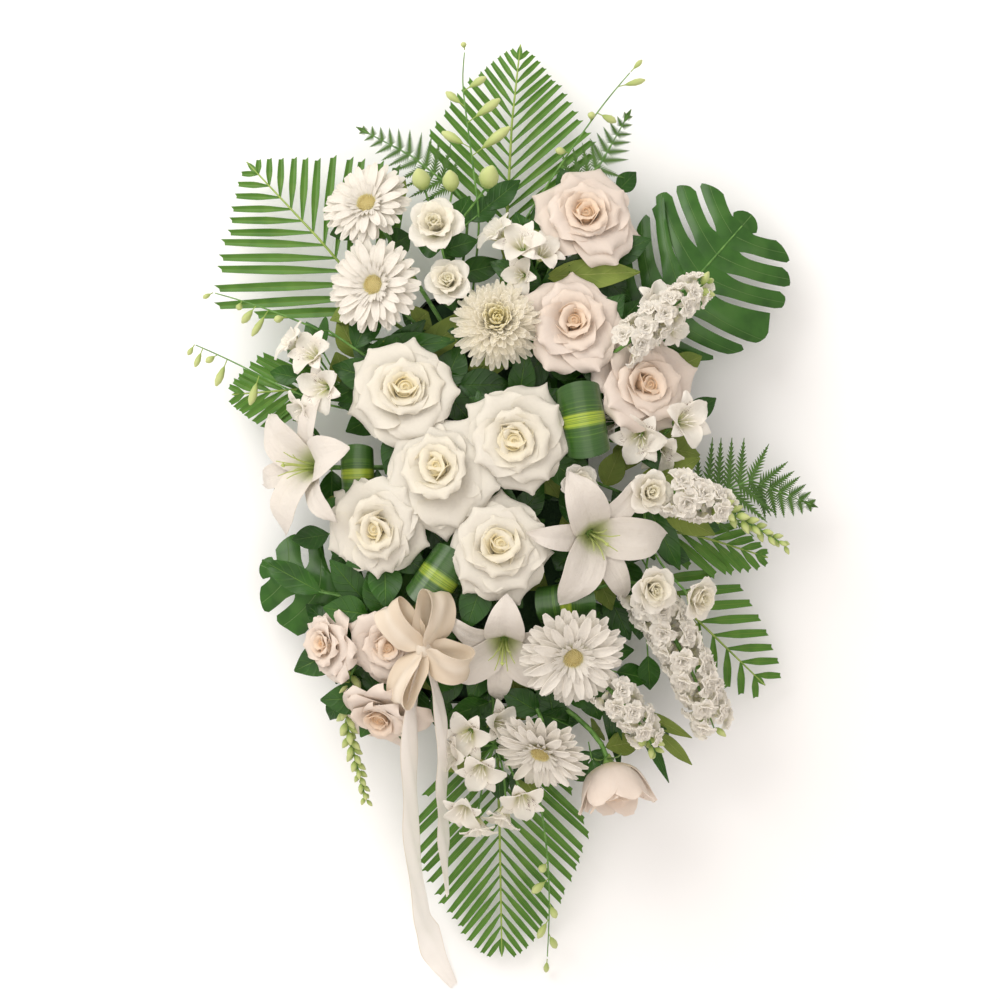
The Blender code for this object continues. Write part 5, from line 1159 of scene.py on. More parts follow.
out_way = add(tree, "VectorMath", {0: aside, "Scale": knobs["Side"]}, operation="SCALE")
angle = add(tree, "MapRange", {0: share, 3: knobs["Angle Start"], 4: knobs["Angle End"]})
angle = chance(tree, knobs, angle, knobs["Jitter"], 1)
cosine = add(tree, "Math", {0: angle}, operation="COSINE")
sine = add(tree, "Math", {0: angle}, operation="SINE")
outward = add(tree, "VectorMath", {0: out_way, "Scale": sine}, operation="SCALE")
forward = add(tree, "VectorMath", {0: run, "Scale": cosine}, operation="SCALE")
level_way = add(tree, "VectorMath", {0: forward, 1: outward}, operation="ADD")
sink = add(tree, "CombineXYZ", {2: chance(tree, knobs, knobs["Droop"], knobs["Jitter"], 2)})
way = add(tree, "VectorMath", {0: level_way, 1: sink}, operation="SUBTRACT")
left = add(tree, "Math", {0: 1.0, 1: share}, operation="SUBTRACT")
taper = add(tree, "Math", {0: left, 1: knobs["Power"]}, operation="POWER")
# The first leaflets at the foot are three quarters as long, and a twelfth of the rib later they are whole
swell = add(tree, "MapRange", {0: share, 2: 0.25 / 3, 3: 0.75})
longest = add(tree, "Math", {0: taper, 1: knobs["Longest"]}, operation="MULTIPLY")
length = add(tree, "Math", {0: longest, 1: swell}, operation="MULTIPLY")
slimmer = add(tree, "MapRange", {0: taper, 3: 0.55})
broad = add(tree, "Math", {0: knobs["Width"], 1: slimmer}, operation="MULTIPLY")
facing = add(tree, "AxesToRotation", {0: way, 1: (0, 0, 1)}, primary_axis="X", secondary_axis="Z")
size = add(tree, "CombineXYZ", {0: length, 1: broad, 2: broad})
copies(tree, knobs, walk.outputs["Points"], facing, size)


def eased(points, count):
    """The same line with its corners rounded off."""
    line = along(points, 60)
    for _ in range(60):
        line[1:-1] = 0.25 * line[:-2] + 0.5 * line[1:-1] + 0.25 * line[2:]
    return along(line, count)


def lifted_rib(name, rib, past):
    """A rib and the tip that lies past its end, both raised to where the solid stands."""
    tip = rib[-1] + unit(rib[-1] - rib[-2]) * past * MM
    lift = lift_of(name, tip)
    return rib + lift, tip + lift


def leaflets(plant, rib, item, finish, longest, sweep, **settings):
    """Both sides of a frond: the longest leaflet left and right, and the angles at which the first and last leave."""
    angles = {"Angle Start": math.radians(sweep[0]), "Angle End": math.radians(sweep[1])}
    for side, reach in zip((-1.0, 1.0), longest):
        shared = {"Item": item, "Finish": finish, "Side": side, "Longest": reach * PLAN_UNIT}
        plant.graft(grow_along("rib_leaflets", rib, {**shared, **angles, **settings}))


# %% [markdown]
# ## Palm fronds
# The fronds are young fan-cut palm: some twenty narrow leaflets a side, each folded like a long shallow V,
# trimmed with scissors so that the frond gets a clean outline.

# %% Six palm fronds
PALMS = {
    # name: rib (u, v, z), longest leaflets left and right, power, sweep, droop, leaflets a side, steps of the rib
    "palm_top": ([(506, 235, 0.075), (512, 121, 0.07), (521, 40, 0.035)], (126, 126), 0.78, (50, 34), 0.10, 15, 11),
    "palm_upper_left":
        ([(380, 310, 0.070), (320, 240, 0.075), (243, 158, 0.045)], (170, 150), 0.9, (52, 40), 0.12, 12, 11),
    "palm_bottom":
        ([(497, 725, 0.070), (500, 850, 0.060), (502, 965, 0.020)], (140, 140), 0.6, (47, 32), 0.12, 17, 11),
    "palm_lower_right":
        ([(655, 580, 0.070), (710, 632, 0.06), (770, 690, 0.035)], (82, 70), 0.5, (50, 40), 0.14, 8, 8),
    "palm_right": ([(650, 528, 0.078), (700, 536, 0.075), (776, 560, 0.050)], (60, 76), 0.7, (34, 26), 0.12, 8, 6),
    "palm_left": ([(340, 385, 0.072), (290, 390, 0.068), (226, 395, 0.045)], (80, 80), 0.7, (34, 26), 0.10, 8, 6),
}


def leaflet_grid(half, fold, rows=9, cols=5, blunt=0.72):
    """A leaflet one metre long along +X, for a tree to stretch: a folded strip with a ragged, slanting cut."""
    t, s = np.linspace(0, 1, rows), np.linspace(-1, 1, cols)
    width = half * np.minimum(0.25 + 1.7 * t, 1.0) * (1 - (1 - blunt) * np.clip((t - 0.55) / 0.45, 0, 1) ** 1.4)
    sides, grown = np.meshgrid(s, t)
    z = fold * np.abs(sides) * width[:, None]
    x = grown - (0.012 * (1 - np.abs(sides)) + 0.02 * sides) * (grown > 0.99)
    return np.stack([x, sides * width[:, None], z], axis=2)


def trimmed(line, steps):
    """The rib of a frond whose last step was cut off 6 mm after its leaflets."""
    knots = along([spot(*p) for p in line], steps + 1)
    length = np.linalg.norm(np.diff(along([spot(*p) for p in line], 80), axis=0), axis=1).sum()
    knots[-1] = knots[-2] + (knots[-1] - knots[-2]) * min(6 * MM * steps / length, 0.6)
    return along(knots, 40)


palm_leaflet = kept("palm_leaflet", palm_green, leaflet_grid(5.6 * MM, 0.5), 0.6 * MM)
for name, (line, longest, power, sweep, droop, count, steps) in PALMS.items():
    rib, tip = lifted_rib(name, trimmed(line, steps), 9)
    plant, seed = Plant([palm_green, rachis_green]), sum(ord(letter) for letter in name)
    settings = {"Count": count, "Power": power, "Droop": droop, "Jitter": 0.03, "Seed": seed}
    settings["Width"] = 0.8 if count > 12 else 1.0
    leaflets(plant, rib[:38], palm_leaflet, palm_green, longest, sweep, **settings)
    leaf_to(plant, rib[-3], tip, 3.2 * MM, 0, 0, 0.5, sag=0.0)
    plant.graft(stalk(np.vstack([rib, tip[None]]), np.linspace(1.9, 0.8, 41), rachis_green), slot=1)
    plant_out(plant, name, rib[0], unit(rib[1] - rib[0]), 2.2, finish=rachis_green)
print("palm fronds:", len(PALMS), "leaflets:", sum(2 * item[-2] for item in PALMS.values()))

# %% [markdown]
# ## Leatherleaf fern
# Each pinna of a leatherleaf fern is a small frond of its own, with saw-edged pinnules. One pinna is cut from
# a single sheet whose width swings in and out, and the rib tree repeats it.

# %% Three ferns
FERNS = {
    # name: rib, longest pinna, pinnae a side
    "fern_top_left": ([(455, 190, 0.085), (410, 155, 0.085), (362, 130, 0.075)], 42, 11),
    "fern_top_right": ([(560, 200, 0.085), (600, 165, 0.085), (628, 115, 0.070)], 44, 11),
    "fern_right": ([(690, 505, 0.085), (750, 480, 0.085), (812, 505, 0.060)], 66, 12),
}


def pinna_grid(teeth=10, half=0.15):
    """A saw-edged pinna one metre long along +X: pairs of pointed pinnules that slant forwards."""
    rows, made = [], []
    for k in range(teeth):
        wide = half * (1 - k / teeth) + 0.012
        shares = ((0, 0.016), (0.28, wide * 0.62), (0.62, wide), (0.84, wide * 0.42))
        rows += [((k + more) / teeth * 0.92, half) for more, half in shares]
    rows.append((1.0, 0.006))
    for x, wide in rows:
        lean = 0.95 * wide * (wide > 0.03)
        made.append([(x + lean * abs(s), s * wide, 0.05 * abs(s) * wide) for s in (-1, -0.5, 0, 0.5, 1)])
    return np.array(made)


for name, (line, reach, count) in FERNS.items():
    rib, tip = lifted_rib(name, along([spot(*p) for p in line], 40), 8)
    plant, size = Plant([fern_green, stalk_green]), reach * PLAN_UNIT
    pinna = kept("fern_pinna", fern_green, pinna_grid() * [1.0, size, size])
    settings = {"Count": count, "Power": 0.8, "Droop": 0.08, "Jitter": 0.05, "Seed": len(name)}
    leaflets(plant, rib[2:39], pinna, fern_green, (reach, reach), (64, 50), **settings)
    leaf_to(plant, rib[-4], tip, 2.4 * MM, 0, 0, 0.5, sag=0.0)
    plant.graft(stalk(rib, np.linspace(1.3, 0.6, 40), stalk_green), slot=1)
    plant_out(plant, name, rib[0], unit(rib[1] - rib[0]), 1.6)
print("ferns:", len(FERNS))

# %% [markdown]
# ## Monstera leaves
# A monstera leaf is whole near its rib and slotted outside it, each slot running between two side veins. Each
# lobe is its own patch of the sheet, and the patches share the web along the rib.

# %% Two monsteras
MONSTERAS = {
    # name: midrib, half width, lobes a side, half width of the web, droop
    "monstera_right": ([(628, 330, 0.080), (690, 285, 0.090), (742, 226, 0.075)], 88, 6, 44, 0.30),
    "monstera_left": ([(372, 600, 0.075), (325, 592, 0.080), (272, 570, 0.060)], 50, 3, 30, 0.30),
}


def monstera_lobe(rib, j, slots, side, half, web, droop, rows=16, cols=7):
    """One lobe as a grid: rows from the midrib outwards, columns along the rib."""
    grid = np.zeros((rows, cols, 3))
    for c in range(cols):
        share = c / (cols - 1)
        t = (j + share) / slots
        at = t * (len(rib) - 1)
        low = min(int(at), len(rib) - 2)
        root = rib[low] + (rib[low + 1] - rib[low]) * (at - low)
        run = unit(rib[low + 1] - rib[low])
        out = unit(np.cross(run, (0, 0, 1))) * side
        width = half * PLAN_UNIT * math.sin(math.pi * (0.20 + 0.70 * t)) ** 0.7
        inner = 0.62 * web * PLAN_UNIT * math.sin(math.pi * (0.18 + 0.72 * t)) / width
        for r in range(rows):
            away = r / (rows - 1)
            squeeze = 1.0 - 0.26 * min(1.0, max(0.0, (away - inner) / (1 - inner)) * 3.5) ** 0.5
            slide = (share - 0.5) * (squeeze - 1.0) / slots * np.linalg.norm(rib[-1] - rib[0])
            reach = width * away * (1.0 - 0.08 * abs(2 * share - 1) ** 5)
            point = root + run * slide + out * reach + run * reach * (0.20 + 0.26 * away)
            point[2] -= droop * reach * reach / (half * PLAN_UNIT)
            point[2] += 1.6 * MM * math.sin(math.pi * share) * min(1.0, away * 3)
            point[2] = max(point[2], 4 * MM)
            grid[r, c] = point
    return grid


def monstera_tip(rib, tip, rows=8, cols=9):
    """The last lobe, a fan round the end of the midrib."""
    run, grid = unit(rib[-1] - rib[-2]), np.zeros((rows, cols, 3))
    out, reach = unit(np.cross(run, (0, 0, 1))), np.linalg.norm(tip - rib[-5])
    for r, c in np.ndindex(rows, cols):
        a, away = math.radians(9.0 * (c - 4)), r / (rows - 1) * (1 - 0.012 * (c - 4) ** 2)
        grid[r, c] = rib[-5] + (run * math.cos(a) + out * math.sin(a)) * away * reach
        grid[r, c, 2] += (0.4 - 6 * away * away) * MM
    return grid


for name, (line, half, slots, web, droop) in MONSTERAS.items():
    rib, knots = (along([spot(*p) for p in line], count) for count in (40, slots + 1))
    tip = knots[-1] + (knots[-2] - knots[-1]) * 0.2 + unit(knots[-1] - knots[-2]) * 24 * MM
    lift = lift_of(name, tip)
    rib, tip = rib + lift, tip + lift
    plant, rng = Plant([monstera_green, stalk_green]), random.Random(slots)
    for side in (-1, 1):
        for j in range(slots):
            grid = monstera_lobe(rib, j, slots, side, half, web, droop)
            grid = grid[:, ::-1] if side < 0 else grid
            plant.sheet(grid, 0.8 * MM, tone=0.35 + 0.2 * rng.random())
    plant.sheet(monstera_tip(rib, tip), 0.8 * MM, tone=0.4)
    plant.graft(stalk(rib + (0, 0, 0.2 * MM), np.linspace(2.2, 0.9, 40), stalk_green), slot=1)
    plant_out(plant, name, rib[0], unit(rib[1] - rib[0]), 2.6)
print("monsteras:", len(MONSTERAS))

# %% [markdown]
# ## Broad leaves
# Between the blooms lie camellia and ruscus leaves: glossy and dark above, olive and matt below, some of them
# turned over. They hide the foam and give the white its depth.

# %% Leafy branches
BRANCHES = {
    # name: stem line, and leaves (share along it, tip, width)
    "foliage_upper_left": (((405, 385, 0.105), (350, 345, 0.125), (320, 325, 0.120)), (
        (0.9, (318, 330, 0.125), 30), (0.5, (455, 340, 0.135), 34), (0.2, (330, 400, 0.10), 36),
        (0.6, (380, 295, 0.12), 34), (0.3, (425, 320, 0.125), 32), (0.0, (446, 436, 0.110), 38),
        (0.1, (476, 306, 0.114), 36),
    )),
    "foliage_upper": (((520, 330, 0.115), (545, 280, 0.130), (560, 240, 0.120)), (
        (0.9, (500, 235, 0.125), 30), (0.6, (640, 272, 0.125), 34), (0.4, (610, 250, 0.12), 36),
        (0.5, (490, 262, 0.125), 34), (0.0, (462, 388, 0.110), 36), (0.1, (556, 392, 0.112), 36),
    )),
    "foliage_right": (((590, 480, 0.115), (640, 500, 0.125), (670, 510, 0.120)), (
        (0.9, (715, 535, 0.115), 30), (0.5, (700, 458, 0.125), 34), (0.3, (655, 560, 0.115), 34),
        (0.7, (680, 570, 0.11), 32), (0.2, (620, 450, 0.12), 30), (0.0, (528, 492, 0.108), 34),
        (0.1, (556, 556, 0.104), 34),
    )),
    "foliage_lower_right": (((590, 650, 0.10), (630, 700, 0.10), (660, 735, 0.085)), (
        (0.95, (692, 765, 0.075), 15), (0.7, (692, 738, 0.085), 15), (0.6, (669, 783, 0.07), 15),
        (0.2, (620, 770, 0.085), 20), (0.0, (536, 612, 0.104), 34), (0.1, (520, 706, 0.096), 32),
    )),
    "foliage_lower_left": (((420, 610, 0.105), (360, 600, 0.115), (310, 590, 0.105)), (
        (0.9, (262, 560, 0.10), 30), (0.5, (330, 560, 0.12), 32), (0.3, (400, 560, 0.12), 34),
        (0.4, (350, 690, 0.09), 30), (0.0, (488, 614, 0.104), 34), (0.05, (452, 690, 0.098), 32),
    )),
}
for name, (line, leaves) in BRANCHES.items():
    rib = along([spot(*p) for p in line], 100)
    tips = np.array([spot(*tip) for _, tip, _ in leaves])
    lift = lift_of(name, tips)
    rib, tips = rib + lift, tips + lift
    plant, rng = Plant([broad_green, olive_under, stalk_green]), random.Random(len(name) * 3)
    for (share, _, width), tip in zip(leaves, tips):
        slots = (1, 0) if rng.random() < 0.25 else (0, 1)
        leaf_to(plant, rib[int(share * 99)], tip, width / 2 * MM, *slots, rng.random())
    plant.graft(stalk(rib[::12], np.linspace(1.8, 1.1, len(rib[::12])), stalk_green), slot=2)
    plant_out(plant, name, rib[0], unit(rib[20] - rib[0]), 2.0, slot=2)
print("branches:", len(BRANCHES))

# %% [markdown]
# ## Rolled strap leaves
# Florists roll a broad striped leaf back on itself and pin it: it stands as a glossy tube with a lime band
# that runs round its middle. The tube is one strip, a little tighter at its end than at its start.

# %% Four strap loops
LOOPS = (
    # number, (u, v), strap width, radius, direction of the roll's axis on the plan in degrees
    (1, (356, 474), 66, 20, 92),
    (2, (582, 420), 84, 27, 100),
    (3, (437, 577), 72, 25, 55),
    (4, (565, 601), 66, 22, 8),
)
strap_finish, tree = surface("striped_strap_leaf")
marks = marks_of(tree)
width = add(tree, "Math", {0: marks[1]}, operation="ABSOLUTE")
lines = streaks(tree, marks, 60.0, 0.8)
stripes = streaks(tree, marks, 22.0, 0.3)
stripes = add(tree, "MapRange", {0: stripes, 1: 0.48, 2: 0.60, 4: 0.7}, interpolation_type="SMOOTHSTEP")
inner = add(tree, "MapRange", {0: width, 1: 0.20, 2: 0.75, 3: 1.0, 4: 0.0}, interpolation_type="SMOOTHSTEP")
stripes = add(tree, "Math", {0: stripes, 1: inner}, operation="MULTIPLY")
colour = layered(
    tree, "#9DB236", ("#33591F", width, 0.14, 0.22), ("#648C2E", stripes), ("#1D3F14", lines, 0.42, 0.66, 0.0, 0.5)
)
bump = add(tree, "Bump", {"Strength": 0.35, "Distance": 0.3 * MM, "Height": lines})
skin = {"Base Color": colour, "Roughness": 0.32, "IOR": 1.45, "Normal": bump}
close(tree, {**skin, "Coat Weight": 0.4, "Coat Roughness": 0.18})


def strap_grid(width, radius, rows=44, cols=9):
    t = np.linspace(0, 1, rows)
    angle = np.radians(-88 + 350 * t)
    reach = radius * (1.0 - 0.22 * t)
    near, far = np.sin(np.pi / 2 * np.minimum(1.9 * t, 1.0)), np.sin(np.pi / 2 * np.minimum(1.9 * (1 - t), 1.0))
    half = width / 2 * (0.30 + 0.70 * near * far)
    sides = np.linspace(-1, 1, cols)
    flare = 1 + 0.05 * sides[None, :] ** 2 * np.sin(angle)[:, None]
    x = (reach * np.cos(angle))[:, None] * flare
    z = (reach * np.sin(angle))[:, None] * flare
    return np.stack([x, sides[None, :] * half[:, None], z], axis=2)


for number, place, width, radius, heading in LOOPS:
    name = f"strap_loop_{number}"
    level = dome_at(*place)[0]
    # The loop is as high as its solid: its top lies 0.842 of its radius over the middle
    middle = solid_points(name)[:, 2].max() - (0.842 * radius + 0.5) * MM
    sunk = (radius - 8) * MM
    z = level + min(SHIFTS, key=lambda shift: abs(level + shift - sunk - middle))
    base = spot(*place, z) - (0, 0, sunk)
    plant = Plant([strap_finish, stalk_green])
    grid = strap_grid(width * MM, radius * MM) @ turn((0, 0, 1), heading - 90).T + base
    plant.sheet(grid, 0.8 * MM, tone=number / 5)
    path = stem_line(name, base - (0, 0, (radius + 10) * MM), (0, 0, 1.0))
    path = np.vstack([path, base - (0, 0, radius * 0.75 * MM)])
    plant.graft(stalk(path, np.linspace(2.4, 2.8, len(path)), stalk_green), slot=1)
    dress(name, plant, name)
print("strap loops:", len(LOOPS))

# %% [markdown]
# ## Small sprays
# Lisianthus carries several ruffled cups and green-tipped buds on one forked stem; alstroemeria carries open
# six-petalled florets with dark dashes on three of their petals. Each floret is a small plant of its own, and
# the fork's side stems are bent to it.

# %% Lisianthus and alstroemeria
SPRAYS = {
    # name: fork (u, v, drop below the dome), florets (kind, size, u, v, rise, lean)
    "lisianthus_top": ((440, 240, 0.040), (
        ("cup", 26, 435, 224, 0.012, None), ("cup", 22, 448, 281, 0.006, None), ("bud", 13, 422, 182, 0.0, (110, 40)),
        ("bud", 12, 451, 184, 0.004, (95, 45)), ("bud", 14, 488, 180, 0.0, (70, 40)),
    )),
    "lisianthus_right": ((650, 545, 0.045), (
        ("cup", 21, 650, 492, 0.006, None), ("cup", 22, 653, 589, 0.0, None),
        ("cup", 21, 699, 597, -0.004, (340, 48)), ("cup", 18, 580, 484, 0.0, None),
    )),
    "alstroemeria_top": ((535, 270, 0.040), (
        ("star", 27, 520, 240, 0.0, (110, 30)), ("star", 24, 545, 248, -0.004, (60, 40)),
    )),
    "alstroemeria_right": ((655, 445, 0.045), (
        ("star", 30, 640, 440, 0.0, (250, 20)), ("star", 30, 690, 420, 0.0, (10, 35)),
        ("star", 24, 660, 300, -0.004, (60, 30)),
    )),
    "alstroemeria_left": ((335, 385, 0.045), (
        ("star", 26, 308, 350, 0.0, (140, 40)), ("star", 28, 318, 388, 0.004, (190, 30)),
    )),
    "alstroemeria_bottom": ((495, 745, 0.030), (
        ("star", 27, 480, 775, 0.0, (260, 36)), ("star", 26, 522, 805, -0.010, (275, 40)),
        ("star", 24, 462, 815, -0.020, (250, 42)), ("star", 26, 466, 738, 0.0, (230, 26)),
    )),
}
CUP_LAYERS = (
    # petals, root, length, half width, lean along the petal, hug, edge roll, core
    (5, (3, 2), 30, 15, ((0, 35), (0.4, 46), (0.8, 58), (1, 86)), 20, 0.22, 0.0),
    (5, (3, 4), 26, 13, ((0, 14), (0.5, 26), (1, 56)), 13, 0.12, 0.3),
    (4, (2, 5), 23, 10, ((0, 2), (0.6, 10), (1, 36)), 8, 0.05, 0.7),
    (3, (1, 6), 21, 7, ((0, 0), (0.7, 0), (1, 14)), 4, 0.0, 1.0),
)


def cup_bloom(size, seed):
    """A lisianthus as a plant of its own: slot 0 petals, slot 1 calyx."""
    plant, rng, k = Plant([small_white, calyx_green]), random.Random(seed), size / 21
    for row, (count, root, length, half, bends, hug, roll, core) in enumerate(CUP_LAYERS):
        for i in range(count):
            grid = petal_grid(
                root, length * rng.uniform(0.94, 1.04), half, bends, hug, roll, point=0.25, rows=8, cols=7,
                wave=1.6, luck=rng.random(), k=k,
            )
            grid = spun(grid, 360 / count * i + 31 * row + rng.uniform(-8, 8), rng.uniform(-5, 5))
            plant.sheet(grid, core=core, tone=rng.random())
    plant.graft(cone((1, 3.5, 4.2, 3.6, 1.5), (2, 6, 12, 18, 21), 8, k), core=1.0)
    sepal = petal_grid((1.6, -3), 16 * k, 2 * k, ((0, 30), (1, 60)), 9, point=1.5, rows=5, cols=3)
    for i in range(5):
        plant.sheet(spun(sepal, 72 * i + 12), slot=1)
    return plant


def star_bloom(size, seed):
    """An alstroemeria floret: three broad petals, three narrow dashed ones, five stamens."""
    plant, rng, k = Plant([small_white, calyx_green, dashed_white]), random.Random(seed), size / 24
    leans = ((0, 18), (0.35, 38), (0.7, 66), (1, 100))
    for i in range(3):
        for half, turned, slot, more in ((13.0, 0, 0, 0.0), (8.5, 60, 2, -1.2)):
            grid = petal_grid(
                (1.8, more), 33 * rng.uniform(0.94, 1.04), half, leans, 13, 0.15, claw=0.22, point=0.7,
                rows=8, cols=5, wave=1.0, luck=rng.random(), k=k,
            )
            grid = spun(grid, 120 * i + turned + rng.uniform(-5, 5), rng.uniform(-6, 6))
            plant.sheet(grid, slot=slot, tone=rng.random())
    for i in range(5):
        a = math.radians(72 * i + 20)
        line = [(0.8, 1), (2.5, 12), (5 + rng.uniform(-1, 1), 22)]
        path = np.array([(r * math.cos(a), r * math.sin(a), z) for r, z in line]) * k * MM
        plant.graft(stalk(path, (0.5, 0.4, 0.7), small_white, 4))
    plant.graft(cone((1.2, 3.2, 2.6, 1.0), (-5, -2, 3, 5), 8, k), slot=1)
    return plant


def bud_body(length, width, sides=8):
    """A plump bud with a drawn-out tip, in mm."""
    shares = np.array([0.10, 0.34, 0.50, 0.46, 0.30, 0.10])
    return cone(shares * width, np.array([0, 0.16, 0.42, 0.62, 0.82, 1.0]) * length, sides)


def pedicel(plant, fork, base, axis, radius):
    """The side stem from a fork to a floret."""
    base = base - axis * 3 * MM
    bend = 0.5 * (fork + base) - unit(axis) * 0.12 * np.linalg.norm(base - fork)
    plant.graft(stalk(eased([fork, bend, base], 7), radius, stalk_green, 5), slot=1)


# Papery white with short dark dashes on the lower half of the petal
dashed_white, tree = surface("dashed_alstroemeria_petal")
marks = marks_of(tree)
dashes = streaks(tree, marks, 16.0, 9.0, 1.0)
dashes = add(tree, "MapRange", {0: dashes, 1: 0.60, 2: 0.66}, interpolation_type="SMOOTHSTEP")
for span in ({1: 0.15, 2: 0.3}, {1: 0.5, 2: 0.68, 3: 1.0, 4: 0.0}):
    zone = add(tree, "MapRange", {0: marks[0], **span}, interpolation_type="SMOOTHSTEP")
    dashes = add(tree, "Math", {0: dashes, 1: zone}, operation="MULTIPLY")
colour = layered(tree, "#D9DC9A", ("#F5F2EA", marks[0], 0.05, 0.45), ("#6B3B3A", dashes))
close(tree, {"Base Color": colour, "Roughness": 0.55, "IOR": 1.4}, 0.25)

for name, (fork, florets) in SPRAYS.items():
    level, axis = dome_at(*fork[:2])
    plant = Plant([small_white, stalk_green, calyx_green, dashed_white, bud_green, broad_green, olive_under])
    stands = []
    for i, (kind, size, u, v, rise, lean) in enumerate(florets):
        way = dome_at(u, v)[1] if lean is None else leaning(*lean)
        stands.append((kind, size, spot(u, v, level + rise) - way * 0.8 * size * MM, turn(way, 40 * i)))
    # The landmark is the top of the first floret's core in the solid
    kind, size, base, rotation = stands[0]
    radius, height = (1.4 / 28, 18 / 28) if kind == "star" else (3.4 / 24, 20 / 24)
    lift = lift_of(name, base + ring_of(radius * size * MM, height * size * MM, 3) @ rotation.T)
    centre = spot(*fork[:2], level - fork[2]) + lift
    for i, (kind, size, base, rotation) in enumerate(stands):
        base, way = base + lift, rotation[:, 2]
        if kind == "bud":
            plant.graft(bud_body(size * 2.3, size * 1.6, 10), rotation, base, slot=4, tone=i / 5)
            cup = petal_grid((1.2, -1), 15, 2, ((0, 40), (0.4, 8), (1, 12)), 6, point=1.5, rows=5, cols=3)
            for turned in range(5):
                plant.sheet(spun(cup, 72 * turned) @ rotation.T + base, slot=2)
        elif kind == "cup":
            plant.join(cup_bloom(size, i + len(name)), rotation, base, (0, 2))
        else:
            plant.join(star_bloom(size, i + len(name)), rotation, base, (0, 2, 3))
            a = math.radians(77 * i + 150)
            aside = np.array([math.cos(a), math.sin(a), -0.35])
            beside, more = base + aside * 0.95 * size * MM, turn(unit(way + 0.8 * aside), 55 * i)
            plant.join(star_bloom(size * 0.9, i + 9), more, beside, (0, 2, 3))
            pedicel(plant, centre, beside, more[:, 2], 1.2)
        pedicel(plant, centre, base, way, 1.3)
    plant_out(plant, name, centre, axis, 1.6, leaves=(1, 5, 6))
print("sprays:", len(SPRAYS), "florets:", sum(len(florets) for _, florets in SPRAYS.values()))

# %% [markdown]
# ## Flower spikes
# Stock and snapdragon set their florets one after another round a stem, each turned by the golden angle from
# the last. The tree walks the stem, turns by that angle and lets the florets shrink and close towards the
# tip. Stock is double and ruffled; the snapdragon has more buds than flowers.

# %% The spike tree
tree, knobs = new_tree(
    "golden_spike",
    {
        "Line": "Object", "Item": "Object", "Count": 30, "Girth": 0.005, "Low Size": 1.0, "Tip Size": 0.6,
        "Low Pitch": 0.3, "Tip Pitch": 0.9, "Jitter": 0.3, "Seed": 0, "Finish": "Material",
    },
)
rib_line = add(tree, "ObjectInfo", {0: knobs["Line"]}).outputs["Geometry"]
walk = add(tree, "CurveToPoints", {"Curve": add(tree, "MeshToCurve", {0: rib_line}), "Count": knobs["Count"]})
run, index = walk.outputs["Tangent"], add(tree, "InputIndex")
share = add(tree, "Math", {0: index, 1: knobs["Count"]}, operation="DIVIDE")
angle = add(tree, "Math", {0: index, 1: GOLDEN_TURN}, operation="MULTIPLY")
angle = chance(tree, knobs, angle, knobs["Jitter"], 1)
aside = add(tree, "VectorMath", {0: run, 1: (0, 0, 1)}, operation="CROSS_PRODUCT")
aside = add(tree, "VectorMath", {0: aside}, operation="NORMALIZE")
round_stem = {"Vector": aside, "Axis": run, "Angle": angle}
outward = add(tree, "VectorRotate", round_stem, rotation_type="AXIS_ANGLE", invert=True)
pitch = add(tree, "MapRange", {0: share, 3: knobs["Low Pitch"], 4: knobs["Tip Pitch"]})
forward = add(tree, "VectorMath", {0: run, "Scale": pitch}, operation="SCALE")
way = add(tree, "VectorMath", {0: outward, 1: forward}, operation="ADD")
facing = add(tree, "AlignRotationToVector", {"Vector": way}, axis="Z")
off = add(tree, "VectorMath", {0: outward, "Scale": knobs["Girth"]}, operation="SCALE")
moved = add(tree, "SetPosition", {"Geometry": walk.outputs["Points"], "Offset": off})
size = add(tree, "MapRange", {0: share, 3: knobs["Low Size"], 4: knobs["Tip Size"]})
copies(tree, knobs, moved, facing, chance(tree, knobs, size, 0.07, 2))


def florets_on(path, floret, finish, count, girth, sizes, pitches, seed):
    """Florets round a stem, with the sizes and pitches of the first and of the last."""
    settings = {"Item": floret, "Count": count, "Girth": girth * MM, "Seed": seed, "Finish": finish}
    settings.update({"Low Size": sizes[0], "Tip Size": sizes[1], "Low Pitch": pitches[0], "Tip Pitch": pitches[1]})
    return grow_along("golden_spike", path, settings)


# %% [markdown]
# ### Stock and snapdragon
# Both come from that tree with other numbers: stock carries double florets nearly to its tip, and the
# snapdragon is mostly green buds. One stem at the foot has nothing but buds.

# %% Stock and snapdragon
SPIKES = {
    # name: line (u, v, rise), florets, floret size, buds, girth, seed
    "stock_upper_right": (((625, 345, -0.01), (665, 312, 0.0), (706, 283, -0.01)), 24, (1.6, 1.25), 3, 5, 11),
    "stock_lower_right": (((645, 590, 0.0), (690, 660, 0.0), (716, 730, -0.02)), 40, (1.9, 1.5), 2, 7, 22),
    "stock_lower_middle": (((610, 690, 0.0), (640, 720, -0.004), (655, 752, -0.02)), 16, (1.6, 1.2), 6, 5, 33),
    "snapdragon_right": (((672, 492, 0.0), (720, 506, 0.0), (784, 545, -0.012)), 13, (2.0, 1.4), 22, 4, 44),
    "snapdragon_left": (((352, 672, -0.02), (344, 715, -0.03), (366, 800, -0.07)), 0, (1.0, 0.7), 44, 3, 55),
}
RUFFLE_LAYERS = (
    # petals, length, half width, lean along the petal, start angle
    (5, 10.0, 5.2, ((0, 30), (0.5, 70), (1, 100)), 0),
    (4, 8.0, 4.4, ((0, 12), (0.5, 42), (1, 80)), 30),
    (3, 6.0, 3.2, ((0, 0), (1, 40)), 70),
)
ruffle, rng = Plant([small_white]), random.Random(5)
